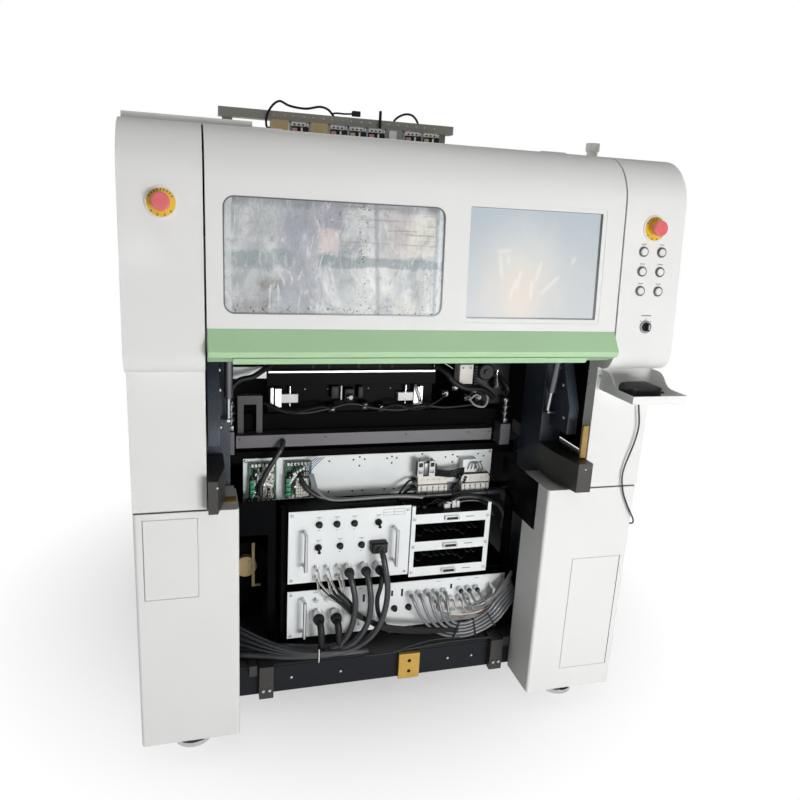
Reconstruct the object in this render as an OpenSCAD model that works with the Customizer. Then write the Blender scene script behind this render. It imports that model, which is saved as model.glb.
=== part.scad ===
// Chip mounter: a free-standing pick and place machine for circuit boards.
// +X is the machine's right as seen from its front, -Y is the front and +Z is up.
// The floor is Z = 0, and the origin is under the middle of the whole machine.

/* [Machine] */
// Width over the side covers
machine_w = 1220; // [1180:10:1320]
// Depth between the faces of the front and rear hoods, at their lower edges
machine_d = 1850; // [1800:10:2000]
// Height of the roof
roof_h = 1432; // [1410:1:1500]
// Thickness of the sheet covers
skin = 3; // [2:0.5:4]
// Open joint between neighbouring covers
seam = 4; // [3:0.5:6]

/* [Hoods] */
// Width of a hood
hood_w = 910; // [890:1:930]
// Height of a hood's lower edge
hood_foot_h = 1043; // [1035:1:1060]
// Lean of the hood's face back from upright, in degrees
hood_lean = 3.95; // [2:0.05:6]
// Radius of the round from the face into the roof
brow_r = 110; // [80:1:125]
// Width of the flanges inside a hood
hood_flange = 40; // [25:1:50]
// Distance of the hinge line behind the hood's lower edge
hinge_setback = 145; // [135:1:170]
// Radius of a hinge pin
hinge_pin_r = 3; // [2.5:0.1:3.5]
// Length of a whole hinge
hinge_l = 62; // [50:1:90]

/* [Window and screen] */
// Width of the window opening
window_w = 452; // [380:1:470]
// Height of the window opening
window_h = 226; // [180:1:240]
// Middle of the window, right of the machine's middle
window_x = -195; // [-205:1:-180]
// Rise of the window's lower edge above the hood's lower edge
window_rise = 29; // [22:1:40]
// Radius of the window's corners
window_r = 22; // [10:1:40]
// Thickness of the window pane
pane_t = 4; // [3:0.5:6]
// Width of the screen
screen_w = 312; // [280:1:320]
// Height of the screen
screen_h = 233; // [200:1:240]
// Middle of the screen, right of the machine's middle
screen_x = 243; // [235:1:245]
// Rise of the screen's lower edge above the hood's lower edge
screen_rise = 27; // [24:1:40]
// Width of the sloped frame round the screen
screen_frame = 10; // [6:1:14]
// Depth of the screen behind the hood's face
screen_recess = 14; // [10:1:18]
// Depth of the monitor's housing
monitor_d = 24; // [20:1:30]

/* [Green strip] */
// Height of the strip under the hood
strip_h = 69; // [62:1:74]
// Stand of the strip's nose in front of the hood
strip_proud = 30; // [20:1:36]
// Height of the strip's front face
strip_face_h = 42; // [34:1:46]
// Width of the grip lip under the strip
lip_w = 784; // [500:1:840]

/* [Columns] */
// Height of the underside of the upper covers' nose
nose_h = 948; // [940:1:955]
// Radius of the round under the nose
nose_r = 45; // [30:1:50]
// Setback of the lower covers behind the hood's lower edge
column_setback = 57; // [50:1:62]
// Height of the top of the lower covers
split_h = 634; // [615:1:634]
// Height of the covers' lower edge above the floor
cover_foot_h = 55; // [45:1:60]
// Length of the front covers along the machine's side
cover_d = 505; // [460:5:560]
// Radius of the lower covers' upright edges
corner_r = 8; // [5:0.5:12]
// Depth of the lower covers' walls inside the bay
inner_wall_d = 125; // [100:1:126]
// Width of the feeder bay between the lower covers
bay_w = 751; // [746:1:770]
// Middle of the bay, right of the machine's middle
bay_x = -13.5; // [-15:0.5:-12]

/* [Frame] */
// Height of the frame's underside
frame_foot_h = 62; // [58:1:70]
// Height of the frame's tubes
tube_h = 75; // [70:1:80]
// Radius of a foot
foot_r = 45; // [35:1:60]
// Distance of the feet from the machine's middle, sideways
foot_x = 497; // [470:1:505]
// Distance of the feet from the machine's middle, front and back
foot_y = 780; // [740:1:780]
// Height of the bed's top
bed_h = 760; // [755:1:765]
// Thickness of the bed
bed_t = 70; // [60:1:80]
// Height of the top of the side frames
side_frame_h = 1060; // [1055:1:1075]

/* [Controls] */
// Height of the emergency stops
estop_h = 1277; // [1265:1:1290]
// Radius of an emergency stop's head
estop_r = 17; // [14:0.5:20]
// Radius of an emergency stop's legend ring
legend_r = 29; // [24:1:34]
// Height of the top row of push buttons
button_h = 1225; // [1215:1:1230]
// Distance between rows of push buttons
button_row = 44; // [36:1:48]
// Distance between the two columns of push buttons
button_col = 47; // [36:1:60]
// Radius of a push button
button_r = 8; // [6:0.5:10]
// Height of the selector switch
selector_h = 1055; // [1050:1:1070]

/* [Mouse tray] */
// Drop of the tray's underside below the nose
tray_drop = 56; // [53:1:66]
// Reach of the tray in front of the lower covers
tray_reach = 142; // [125:1:170]
// Height of the tray's front lip
tray_lip = 18; // [12:1:24]
// Height of the tray's side plates at the column
tray_cheek_h = 50; // [40:1:54]
// Thickness of the tray's sheet
tray_t = 2; // [1.5:0.5:3]
// Length of the mouse
mouse_l = 100; // [90:1:110]
// Width of the mouse
mouse_w = 58; // [50:1:64]
// Height of the mouse
mouse_h = 34; // [28:1:38]

/* [Rack] */
// Distance of the rack's front behind the hood's lower edge
rack_setback = 235; // [225:1:245]
// Width of the rack's lower box
rack_w = 610; // [605:1:612]
// Middle of the rack, right of the machine's middle
rack_mid = 48; // [46:1:50]
// Width of the control box
control_w = 323; // [315:1:330]
// Height of the control box
control_h = 200; // [195:1:205]
// Height of the lower box
io_h = 135.5; // [130:0.5:140]
// Depth of the boxes
rack_d = 270; // [240:1:300]
// Width of the white board panel
panel_w = 693; // [670:1:700]
// Height of the white board panel
panel_h = 118; // [112:1:122]

/* [Gantry] */
// Distance between the gantry's two side rails
rail_gap = 860; // [850:1:865]
// Distance of the gantry behind the machine's middle when parked
gantry_y = -150; // [-170:1:-120]
// Height of the gantry beam
beam_h = 90; // [80:1:100]
// Radius of the placement head's drum
drum_r = 45; // [38:1:50]
// Number of nozzles on the drum
nozzle_count = 8; // [4:1:12]

/* [Roof rail] */
// Length of the rail on the roof
top_rail_l = 681; // [600:1:700]
// Height of the rail's underside above the roof
top_rail_rise = 81; // [70:1:90]
// Number of valve units under the rail
unit_count = 9; // [6:1:10]
// Distance between valve units
unit_pitch = 55; // [52:1:60]

/* [Hidden] */
$fn = 48;

// Clearances
joint_gap = 0.2;
slide_gap = 0.4;
bore_gap = 0.05;
button_gap = 0.3;
past = 1;
// Lap of a round over the flats that run into it
round_lap = 0.02;

// Main planes
half_w = machine_w / 2;
half_d = machine_d / 2;
face_y = -half_d;
lower_y = face_y + column_setback;
cover_end_y = face_y + cover_d;
hinge_y = face_y + hinge_setback;
hinge_z = roof_h - 1;
hood_half = hood_w / 2;
hood_x = hood_half - seam / 2;
column_in = hood_half + seam / 2;
column_x = (hood_half + half_w) / 2;
bay_left = bay_x - bay_w / 2;
bay_right = bay_x + bay_w / 2;
upper_foot_h = split_h + seam;
tray_front_y = lower_y - tray_reach;
tray_h = nose_h - tray_drop;

// Colours
white = [0.90, 0.90, 0.88];
panel_white = [0.87, 0.90, 0.90];
black = [0.07, 0.07, 0.08];
navy = [0.10, 0.12, 0.16];
grey = [0.35, 0.35, 0.37];
green = [0.64, 0.77, 0.62];
steel = [0.70, 0.70, 0.72];

// A point on the hood's face plane, at height z
function face_at(z) = face_y + (z - hood_foot_h) * tan(hood_lean);
function unit(v) = v / norm(v);

brow_c = [face_at(roof_h - brow_r) + brow_r / cos(hood_lean), roof_h - brow_r];
nose_c = [face_at(nose_h + nose_r) + nose_r / cos(hood_lean), nose_h + nose_r];
face_normal = [-cos(hood_lean), sin(hood_lean)];
rear_y = -(nose_c[0] - nose_r);
centre_shift = -(tray_front_y + rear_y) / 2;

// Basic forms
module centred() {
  translate([0, centre_shift, 0]) children();
}

module span(x, y, z) {
  translate([x[0], y[0], z[0]]) cube([x[1] - x[0], y[1] - y[0], z[1] - z[0]]);
}

module across(x0, x1) {
  translate([x0, 0, 0]) rotate([90, 0, 90]) linear_extrude(x1 - x0) children();
}

module both() {
  for (s = [0, 1]) mirror([s, 0, 0]) children();
}

module ends() {
  for (s = [0, 1]) mirror([0, s, 0]) children();
}

module rounded(w, h, r) {
  square([w - 2 * r, h], center = true);
  square([w, h - 2 * r], center = true);
  for (x = [-1, 1], y = [-1, 1]) translate([x * (w / 2 - r), y * (h / 2 - r)]) circle(r);
}

// Local frame on the hood's face: X, distance up the face, distance out of it
module on_face(x = 0, z = hood_foot_h) {
  translate([x, face_at(z), z]) rotate([90 - hood_lean, 0, 0]) children();
}

// Side outline of a hood, inset by t, from z_low up and from the face back to y_back
module hood_outline(t, z_low, y_back) {
  r = brow_r - t;
  intersection() {
    union() {
      polygon([
        [y_back, z_low], [face_at(z_low) + t / cos(hood_lean), z_low],
        brow_c + r * face_normal, brow_c + [0, r], [y_back, roof_h - t]
      ]);
      translate(brow_c) circle(r + round_lap, $fn = 96);
    }
    translate([face_y - machine_d, z_low]) square([y_back - face_y + machine_d, roof_h]);
  }
}

// Side outline of an upper cover, inset by t: the hood's face with a nose under it
module column_outline(t, z_low, y_back) {
  r = nose_r - t;
  top_r = brow_r - t;
  polygon([
    [y_back, z_low], [lower_y + t, z_low], [lower_y + t, nose_h + t], [nose_c[0], nose_h + t], nose_c,
    nose_c + r * face_normal, brow_c + top_r * face_normal, brow_c + [0, top_r], [y_back, roof_h - t]
  ]);
  translate(nose_c) circle(r + round_lap);
  translate(brow_c) circle(top_r + round_lap, $fn = 96);
}

// Routes of cords and cables
function spline(p, i, t) =
  let (a = p[max(i - 1, 0)], b = p[i], c = p[i + 1], d = p[min(i + 2, len(p) - 1)])
  0.5 * (2 * b + (c - a) * t + (2 * a - 5 * b + 4 * c - d) * t * t
    + (3 * b - a - 3 * c + d) * t * t * t);
function smooth(p, k) = concat(
  [for (i = [0:len(p) - 2]) for (j = [0:k - 1]) spline(p, i, j / k)], [p[len(p) - 1]]);
function headings(p, c) = concat([unit(p[1] - p[0])],
  [for (i = [1:len(c) - 2]) unit(c[i + 1] - c[i - 1])], [unit(p[len(p) - 1] - p[len(p) - 2])]);
function carry(n, t) = unit(n - (n * t) * t);
function normals(t) = [
  for (i = 0, n = carry([0.31, 0.87, 0.38], t[0]); i < len(t);
    i = i + 1, n = carry(n, t[min(i, len(t) - 1)])) n];

module cable(route, d, k = 2, sides = 8) {
  c = smooth(route, k);
  t = headings(route, c);
  n = normals(t);
  last = len(c) - 1;
  rings = [for (i = [0:last]) for (s = [0:sides - 1])
    let (a = 360 * s / sides)
    c[i] + d / 2 * (cos(a) * n[i] + sin(a) * cross(t[i], n[i]))];
  sides_faces = [for (i = [0:last - 1]) for (s = [0:sides - 1])
    [i * sides + s, (i + 1) * sides + s, (i + 1) * sides + (s + 1) % sides, i * sides + (s + 1) % sides]];
  caps = [[for (s = [0:sides - 1]) s], [for (s = [sides - 1:-1:0]) last * sides + s]];
  polyhedron(points = rings, faces = concat(sides_faces, caps));
}

// Feet and frame
frame_top_h = frame_foot_h + tube_h;
foot_t = 12;
stud_r = 10;
lock_nut_h = 10;
lock_nut_r = 18;

module levelling_feet() {
  color(steel) both() ends() translate([foot_x, foot_y, 0]) {
    cylinder(r = foot_r, h = foot_t);
    translate([0, 0, foot_t]) cylinder(r1 = foot_r / 2, r2 = stud_r + 2, h = 10);
    cylinder(r = stud_r, h = frame_foot_h);
    translate([0, 0, frame_foot_h - lock_nut_h]) cylinder(r = lock_nut_r, h = lock_nut_h, $fn = 6);
  }
}

rail_in = 400;
rail_out = 550;
rail_end_y = 830;
front_beam_y = face_y + 185;
outrigger_w = 60;
floor_t = 6;
post_w = 30;
roof_under = roof_h - skin;

module base_frame() {
  color(navy) {
    both() span([rail_in, rail_out], [-rail_end_y, rail_end_y], [frame_foot_h, frame_top_h]);
    ends() span([-rail_in + joint_gap, rail_in - joint_gap],
      [front_beam_y, front_beam_y + tube_h], [frame_foot_h, frame_top_h]);
    span([-rail_in + joint_gap, rail_in - joint_gap], [-tube_h / 2, tube_h / 2],
      [frame_foot_h, frame_top_h]);
    both() ends() span([rail_out + joint_gap, half_w - skin],
      [cover_end_y - outrigger_w / 2, cover_end_y + outrigger_w / 2], [frame_foot_h, frame_top_h]);
    span([-rail_in, rail_in], [front_beam_y, 0],
      [frame_top_h + joint_gap, frame_top_h + joint_gap + floor_t]);
  }
}

floor_h = frame_top_h + joint_gap + floor_t;

module cover_frame() {
  bar_h = roof_under - post_w;
  color(black) {
    both() ends() span([half_w - skin - post_w, half_w - skin],
      [cover_end_y - post_w / 2, cover_end_y + post_w / 2],
      [frame_top_h + joint_gap, bar_h - joint_gap]);
    ends() span([-half_w + skin, half_w - skin],
      [cover_end_y - post_w / 2, cover_end_y + post_w / 2], [bar_h, roof_under]);
    both() ends() span([hood_half - 75, hood_half - 45],
      [hinge_y + 12, cover_end_y - post_w / 2 - joint_gap], [bar_h, roof_under]);
  }
}

// Side frames carry the bed, the gantry's rails and the hood's struts
frame_in = rail_in;
frame_out = 460;
post_y = 720;
post_d = 120;
side_rail_h = 60;
mid_rail_h = 50;
gusset_in = 425;
gusset_out = 453;
gusset_y = -812;
gusset_low = split_h + 126;
gusset_high = side_frame_h - 100;

strut_x = 405;
strut_foot = [face_y + 187, gusset_low + 40];
strut_arm = 90;
strut_arm_angle = 40;
strut_head = [hinge_y - strut_arm * cos(strut_arm_angle), hinge_z - strut_arm * sin(strut_arm_angle)];
strut_run = strut_head - strut_foot;
strut_l = norm(strut_run);
strut_lean = atan2(-strut_run[0], strut_run[1]);
strut_pin_r = 4;
strut_eye_r = 8;
strut_eye_t = 8;

module side_frames() {
  color(navy) both() {
    ends() span([frame_in, frame_out], [-post_y, -post_y + post_d],
      [frame_top_h, side_frame_h - side_rail_h - joint_gap]);
    span([frame_in, frame_out], [-post_y + post_d + joint_gap, post_y - post_d - joint_gap],
      [bed_h - bed_t - mid_rail_h, bed_h - bed_t]);
    span([frame_in, frame_out], [-post_y, post_y], [side_frame_h - side_rail_h, side_frame_h]);
    across(gusset_in, gusset_out) polygon([
      [-post_y - joint_gap, gusset_low], [gusset_y, gusset_low],
      [gusset_y, gusset_low + 70], [-post_y - 30, gusset_high], [-post_y - joint_gap, gusset_high]]);
    translate([strut_x - strut_eye_t / 2 - 3, strut_foot[0], strut_foot[1]]) rotate([0, 90, 0])
      cylinder(r = strut_pin_r, h = gusset_in + past - strut_x + strut_eye_t / 2 + 3);
  }
}

bed_front_y = -550;
bed_pocket = 320;

module machine_bed() {
  color(black) difference() {
    span([-frame_in + joint_gap, frame_in - joint_gap], [bed_front_y, -bed_front_y],
      [bed_h - bed_t, bed_h]);
    for (x = [-1, 1], y = [-1, 1])
      translate([x * 190 - bed_pocket / 2, y * 270 - bed_pocket / 2, bed_h - bed_t - past])
        cube([bed_pocket, bed_pocket, bed_t - 15]);
  }
}

deck_beam_w = 699;
deck_beam_z = [bed_h - 80, bed_h - 46];
deck_beam_d = 40;
deck_x = bay_x - 17;
// Posts past the beam's ends: distance from the end, width
deck_left_post = [4, 15];
deck_right_post = [23, 30];
deck_post_z = [bed_h - 94, bed_h - 33];
deck_post_proud = 8;

module deck_beam() {
  x0 = deck_x - deck_beam_w / 2;
  x1 = deck_x + deck_beam_w / 2;
  post = [bed_front_y - deck_beam_d - deck_post_proud, bed_front_y - joint_gap];
  color(grey) {
    span([x0, x1], [bed_front_y - deck_beam_d, bed_front_y - joint_gap], deck_beam_z);
    span([x0 - deck_left_post[0] - deck_left_post[1], x0 - deck_left_post[0]], post, deck_post_z);
    span([x1 + deck_right_post[0], x1 + deck_right_post[0] + deck_right_post[1]], post, deck_post_z);
  }
}

// Lower covers: folded boxes, open behind and below
module lower_plan(x0, x1, inset) {
  w = x1 - x0 - 2 * inset;
  d = 2 * cover_d;
  translate([(x0 + x1) / 2, lower_y + inset + d / 2]) rounded(w, d, corner_r - inset / 2);
}

post_notch = frame_out + seam;

module lower_cover(x0, x1, inner_x) {
  difference() {
    translate([0, 0, cover_foot_h]) linear_extrude(split_h - cover_foot_h) lower_plan(x0, x1, 0);
    translate([0, 0, cover_foot_h - past]) linear_extrude(split_h - cover_foot_h - skin + past)
      lower_plan(x0, x1, skin);
    span([x0 - past, x1 + past], [cover_end_y - seam / 2, lower_y + 3 * cover_d],
      [cover_foot_h - past, split_h + past]);
    span([inner_x - skin - past, inner_x + skin + past], [lower_y + inner_wall_d, cover_end_y],
      [cover_foot_h - past, split_h + past]);
    span([x0 + skin, x1 - skin], [cover_end_y - post_w / 2 - seam, cover_end_y],
      [split_h - skin - past, split_h + past]);
    span([min(inner_x, sign(inner_x) * post_notch), max(inner_x, sign(inner_x) * post_notch)],
      [-post_y - seam, cover_end_y], [split_h - skin - past, split_h + past]);
  }
}

access_lap = 8;
access_t = 1.5;
access_slit = 1.5;
left_access = [[-half_w + 18, -half_w + 133], [split_h - 205, split_h - 14]];
right_access = [[half_w - 158, half_w - 18], [cover_foot_h + 61, cover_foot_h + 386]];

module access_hole(a) {
  span([a[0][0], a[0][1]], [lower_y - past, lower_y + skin + past], [a[1][0], a[1][1]]);
}

module access_panel(a) {
  span([a[0][0] + access_slit, a[0][1] - access_slit], [lower_y, lower_y + skin + access_t],
    [a[1][0] + access_slit, a[1][1] - access_slit]);
  span([a[0][0] - access_lap, a[0][1] + access_lap], [lower_y + skin, lower_y + skin + access_t],
    [a[1][0] - access_lap, a[1][1] + access_lap]);
}

module left_lower_cover() {
  color(white) difference() {
    lower_cover(-half_w, bay_left, bay_left);
    access_hole(left_access);
  }
}

module right_lower_cover() {
  color(white) difference() {
    lower_cover(bay_right, half_w, bay_right);
    access_hole(right_access);
  }
}

module access_panels() {
  color(white) {
    access_panel(left_access);
    access_panel(right_access);
  }
}

// Upper covers: a skin with the nose outline, an outer side and an inner flange
module upper_cover() {
  end_y = cover_end_y - seam / 2;
  flange_end_y = cover_end_y - post_w / 2 - seam;
  across(column_in, half_w) difference() {
    column_outline(0, upper_foot_h, end_y);
    column_outline(skin, upper_foot_h - past, end_y + past);
  }
  across(half_w - skin, half_w) column_outline(0, upper_foot_h, end_y);
  across(column_in, column_in + skin) difference() {
    column_outline(0, upper_foot_h, flange_end_y);
    column_outline(hood_flange, upper_foot_h - past, flange_end_y + past);
  }
}

estop_stem_r = 10;
estop_collar_r = 15;
selector_r = 10;
button_xz = [for (row = [0:2]) for (col = [-1, 1])
  [column_x + col * button_col / 2, button_h - row * button_row]];

module control_hole(x, z, r) {
  on_face(x, z) translate([0, 0, -2 * skin]) cylinder(r = r, h = 4 * skin);
}

module left_upper_cover() {
  color(white) difference() {
    mirror([1, 0, 0]) upper_cover();
    control_hole(-column_x, estop_h, estop_stem_r + 1);
  }
}

module right_upper_cover() {
  color(white) difference() {
    upper_cover();
    control_hole(column_x, estop_h, estop_stem_r + 1);
    control_hole(column_x, selector_h, selector_r + 1);
    for (p = button_xz) control_hole(p[0], p[1], button_r + 1);
  }
}

// Side panels between the front and rear covers, with the board slot
slot_y = [-230, 190];
slot_z = [bed_h + 100, bed_h + 220];

module side_panels() {
  end_y = cover_end_y + seam / 2;
  color(white) both() difference() {
    union() {
      span([half_w - skin, half_w], [end_y, -end_y], [cover_foot_h, roof_h]);
      span([column_in, half_w], [end_y, -end_y], [roof_under, roof_h]);
    }
    span([half_w - skin - past, half_w + past], slot_y, slot_z);
  }
}

rear_panel_t = 3;

module rear_covers() {
  color(white) {
    both() mirror([0, 1, 0]) upper_cover();
    mirror([0, 1, 0]) lower_cover(-half_w, bay_left, bay_left);
    mirror([0, 1, 0]) lower_cover(bay_right, half_w, bay_right);
    span([-frame_out, frame_out], [post_y + joint_gap, post_y + joint_gap + rear_panel_t],
      [frame_top_h, gusset_high]);
  }
}

// Hinges between the roof and the hoods
knuckle_r = hinge_pin_r + 2;
hinge_x = [-hood_half + 130, hood_half - 130];
mid_knuckle = hinge_l * 0.45;
knuckle_gap = 0.6;
roof_front_y = hinge_y + seam / 2;

module knuckle(x0, x1) {
  translate([x0, hinge_y, hinge_z]) rotate([0, 90, 0]) cylinder(r = knuckle_r, h = x1 - x0);
}

module pin_bores() {
  for (x = hinge_x) translate([x - hinge_l / 2 - past, hinge_y, hinge_z]) rotate([0, 90, 0])
    cylinder(r = hinge_pin_r + bore_gap, h = hinge_l + 2 * past);
}

module hinge_pins() {
  color(steel) ends() for (x = hinge_x) translate([x - hinge_l / 2, hinge_y, hinge_z])
    rotate([0, 90, 0]) cylinder(r = hinge_pin_r, h = hinge_l);
}

module roof_knuckles() {
  for (x = hinge_x, s = [-1, 1]) {
    x0 = x + s * (mid_knuckle / 2 + knuckle_gap);
    x1 = x + s * hinge_l / 2;
    knuckle(min(x0, x1), max(x0, x1));
    span([min(x0, x1), max(x0, x1)], [hinge_y, roof_front_y + past], [roof_under, hinge_z + 1]);
  }
}

lid_x = [-half_w + 2, -half_w + 256];
lid_h = 15;
lid_y = [hinge_y + 12, cover_end_y];

module roof_panel() {
  color(white) {
    difference() {
      union() {
        span([-hood_x, hood_x], [roof_front_y, -roof_front_y], [roof_under, roof_h]);
        ends() roof_knuckles();
      }
      ends() for (x = hinge_x)
        span([x - mid_knuckle / 2 - knuckle_gap, x + mid_knuckle / 2 + knuckle_gap],
          [hinge_y - knuckle_r - past, hinge_y + knuckle_r + past],
          [roof_under - past, roof_h + past]);
      ends() pin_bores();
    }
    span(lid_x, lid_y, [roof_h + joint_gap, roof_h + lid_h]);
  }
}

// Hood shell with its flanges and hinge knuckles
module hood_shell() {
  end_y = hinge_y - seam / 2;
  difference() {
    union() {
      across(-hood_x, hood_x) hood_outline(0, hood_foot_h, end_y);
      for (x = hinge_x) {
        knuckle(x - mid_knuckle / 2, x + mid_knuckle / 2);
        span([x - mid_knuckle / 2, x + mid_knuckle / 2], [end_y - past, hinge_y],
          [roof_under, hinge_z + 1]);
      }
    }
    across(-hood_x + skin, hood_x - skin) hood_outline(skin, hood_foot_h + skin, end_y + past);
    across(-hood_half, hood_half) hood_outline(hood_flange, hood_foot_h - past, end_y + past);
    pin_bores();
    for (x = hinge_x, s = [-1, 1]) {
      x0 = x + s * mid_knuckle / 2;
      x1 = x + s * (hinge_l / 2 + knuckle_gap);
      span([min(x0, x1), max(x0, x1)], [hinge_y - knuckle_r - past, hinge_y + past],
        [roof_under - past, roof_h + past]);
    }
  }
}

window_mid = window_rise + window_h / 2;
screen_mid = screen_rise + screen_h / 2;
bracket_x = [strut_x + strut_eye_t / 2 + 7, strut_x + strut_eye_t / 2 + 12];

module strut_bracket() {
  both() {
    across(bracket_x[0], bracket_x[1]) {
      translate(strut_head) circle(12);
      polygon([strut_head + [-12, 0], strut_head + [12, 0],
        [strut_head[0] + 62, roof_under + skin / 2], [strut_head[0] + 42, roof_under + skin / 2]]);
    }
    translate([strut_x + strut_eye_t / 2 + slide_gap, strut_head[0], strut_head[1]])
      rotate([0, 90, 0]) cylinder(r = strut_pin_r, h = bracket_x[1] - strut_x - strut_eye_t / 2 - slide_gap);
  }
}

module front_hood() {
  color(white) {
    difference() {
      hood_shell();
      on_face() translate([window_x, window_mid, -2 * skin])
        linear_extrude(4 * skin) rounded(window_w, window_h, window_r);
      on_face() translate([screen_x, screen_mid, -2 * skin])
        linear_extrude(4 * skin) rounded(screen_w + 2 * screen_frame, screen_h + 2 * screen_frame, 6);
    }
    strut_bracket();
  }
}

pane_lap = 12;

module hood_window() {
  color([0.7, 0.75, 0.78, 0.6]) on_face() translate([window_x, window_mid, -skin - pane_t])
    linear_extrude(pane_t) rounded(window_w + 2 * pane_lap, window_h + 2 * pane_lap, window_r + pane_lap);
}

module monitor() {
  lap = 8;
  w = screen_w + 2 * (screen_frame + lap);
  h = screen_h + 2 * (screen_frame + lap);
  color(grey) on_face() translate([screen_x, screen_mid, 0]) difference() {
    translate([0, 0, -screen_recess - monitor_d]) linear_extrude(screen_recess + monitor_d - skin)
      rounded(w, h, 8);
    translate([0, 0, -screen_recess]) linear_extrude(screen_recess) rounded(screen_w, screen_h, 2);
  }
}

strip_foot = hood_foot_h - strip_h;
strip_nose = [face_y - strip_proud, hood_foot_h - strip_face_h];
lip_t = 4;

module green_strip() {
  color(green) {
    across(-hood_x, hood_x) polygon([
      [face_y, hood_foot_h], strip_nose, strip_nose + [4, -11],
      [face_y + 12, strip_foot], [face_y + 24, strip_foot], [face_y + 24, hood_foot_h]]);
    across(bay_x - lip_w / 2, bay_x + lip_w / 2) polygon([
      strip_nose + [5, -13], strip_nose + [14, -strip_h + strip_face_h],
      strip_nose + [14 + lip_t, -strip_h + strip_face_h], strip_nose + [20, -16]]);
  }
}

module rear_hood() {
  color(white) mirror([0, 1, 0]) hood_shell();
}

// Gas struts of the front hood: rods on the frame, tubes to the hood
strut_rod_r = 5;
strut_tube_r = 10;
tube_start = 58;
rod_l = 205;
tube_bore_l = 156;

module strut_frame() {
  translate([strut_x, strut_foot[0], strut_foot[1]]) rotate([strut_lean, 0, 0]) children();
}

module eye(r_bore) {
  rotate([0, 90, 0]) difference() {
    cylinder(r = strut_eye_r, h = strut_eye_t, center = true);
    cylinder(r = r_bore, h = strut_eye_t + past, center = true);
  }
}

module strut_rods() {
  color(steel) both() strut_frame() difference() {
    union() {
      eye(strut_pin_r + bore_gap);
      translate([0, 0, strut_eye_r - 2]) cylinder(r = strut_rod_r, h = rod_l - strut_eye_r + 2);
    }
    rotate([0, 90, 0])
      cylinder(r = strut_pin_r + bore_gap, h = strut_eye_t + past, center = true);
  }
}

module strut_tubes() {
  color(grey) both() strut_frame() {
    difference() {
      translate([0, 0, tube_start]) cylinder(r = strut_tube_r, h = strut_l - tube_start - strut_eye_r + 2);
      translate([0, 0, tube_start - past]) cylinder(r = strut_rod_r + bore_gap, h = tube_bore_l + past);
    }
    translate([0, 0, strut_l]) rotate([0, 90, 0])
      cylinder(r = strut_eye_r, h = strut_eye_t, center = true);
  }
}

// Switches on the columns
estop_travel = 4;
bezel_t = 3;

module on_switch(x, z) {
  on_face(x, z) translate([0, 0, joint_gap]) children();
}

module switch_bezels() {
  color([0.9, 0.72, 0.1]) for (s = [-1, 1]) on_switch(s * column_x, estop_h) difference() {
    union() {
      cylinder(r = legend_r, h = 2);
      cylinder(r = estop_collar_r, h = 10);
    }
    translate([0, 0, -past]) cylinder(r = estop_stem_r + button_gap, h = 12 + past);
  }
  color(steel) {
    for (p = button_xz) on_switch(p[0], p[1]) difference() {
      cylinder(r = button_r + 3.5, h = bezel_t);
      translate([0, 0, -past]) cylinder(r = button_r + button_gap, h = bezel_t + 2 * past);
    }
    on_switch(column_x, selector_h) difference() {
      cylinder(r = selector_r + 5, h = bezel_t);
      translate([0, 0, -past]) cylinder(r = selector_r + button_gap, h = bezel_t + 2 * past);
    }
  }
}

module estop(x) {
  head_z = 10 + estop_travel + 1;
  color([0.86, 0.36, 0.36]) on_face(x, estop_h) {
    translate([0, 0, -6]) cylinder(r = estop_stem_r, h = head_z + 7);
    translate([0, 0, head_z]) rotate_extrude() {
      square([estop_r - 3, 12]);
      square([estop_r, 9]);
      intersection() {
        translate([estop_r - 3, 9]) circle(3);
        square([estop_r, 12]);
      }
    }
  }
}

module left_estop() {
  estop(-column_x);
}

module right_estop() {
  estop(column_x);
}

module button(i) {
  color([0.93, 0.94, 0.92]) on_face(button_xz[i][0], button_xz[i][1])
    translate([0, 0, -6]) cylinder(r = button_r, h = 6 + bezel_t + 2.8);
}

module selector_knob() {
  color(black) on_face(column_x, selector_h) {
    translate([0, 0, -6]) cylinder(r = selector_r, h = 6 + bezel_t + 3);
    translate([0, 0, bezel_t + 2]) linear_extrude(11) rounded(6, 2 * selector_r - 1, 2.9);
  }
}

// Mouse tray on the right column
tray_x = [column_in + 11, half_w];
tray_floor = tray_h + tray_t;
tray_round = 40;
cord_hole = [half_w - 35, lower_y - 18];
cord_hole_r = 10;

module tray_cheek() {
  back = lower_y - joint_gap;
  low = tray_h + tray_lip;
  high = tray_h + tray_cheek_h;
  bend = tray_round - (high - low) / 2;
  run = sqrt(tray_round * tray_round - bend * bend);
  union() {
    translate([tray_front_y, tray_h]) square([tray_reach - joint_gap, tray_lip]);
    difference() {
      translate([back - 22 - 2 * run, tray_h]) square([22 + 2 * run, high - tray_h]);
      translate([back - 22 - 2 * run, low + tray_round]) circle(tray_round);
      difference() {
        translate([back - 22 - run, (low + high) / 2]) square([run, high]);
        translate([back - 22, high - tray_round]) circle(tray_round);
      }
      translate([back - 22 - 3 * run, low + tray_round - bend]) square([2 * run, high]);
    }
    translate([back - 22, tray_h]) square([22, high - tray_h]);
  }
}

module mouse_tray() {
  color(white) difference() {
    union() {
      span(tray_x, [tray_front_y, lower_y - joint_gap], [tray_h, tray_floor]);
      span(tray_x, [tray_front_y, tray_front_y + tray_t], [tray_h, tray_h + tray_lip]);
      across(tray_x[0], tray_x[0] + tray_t) tray_cheek();
      across(tray_x[1] - tray_t, tray_x[1]) tray_cheek();
    }
    translate([cord_hole[0], cord_hole[1], tray_h - past]) cylinder(r = cord_hole_r, h = tray_t + 2 * past);
  }
}

mouse_x = tray_x[0] + 60;
mouse_y = tray_front_y + 66;

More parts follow.
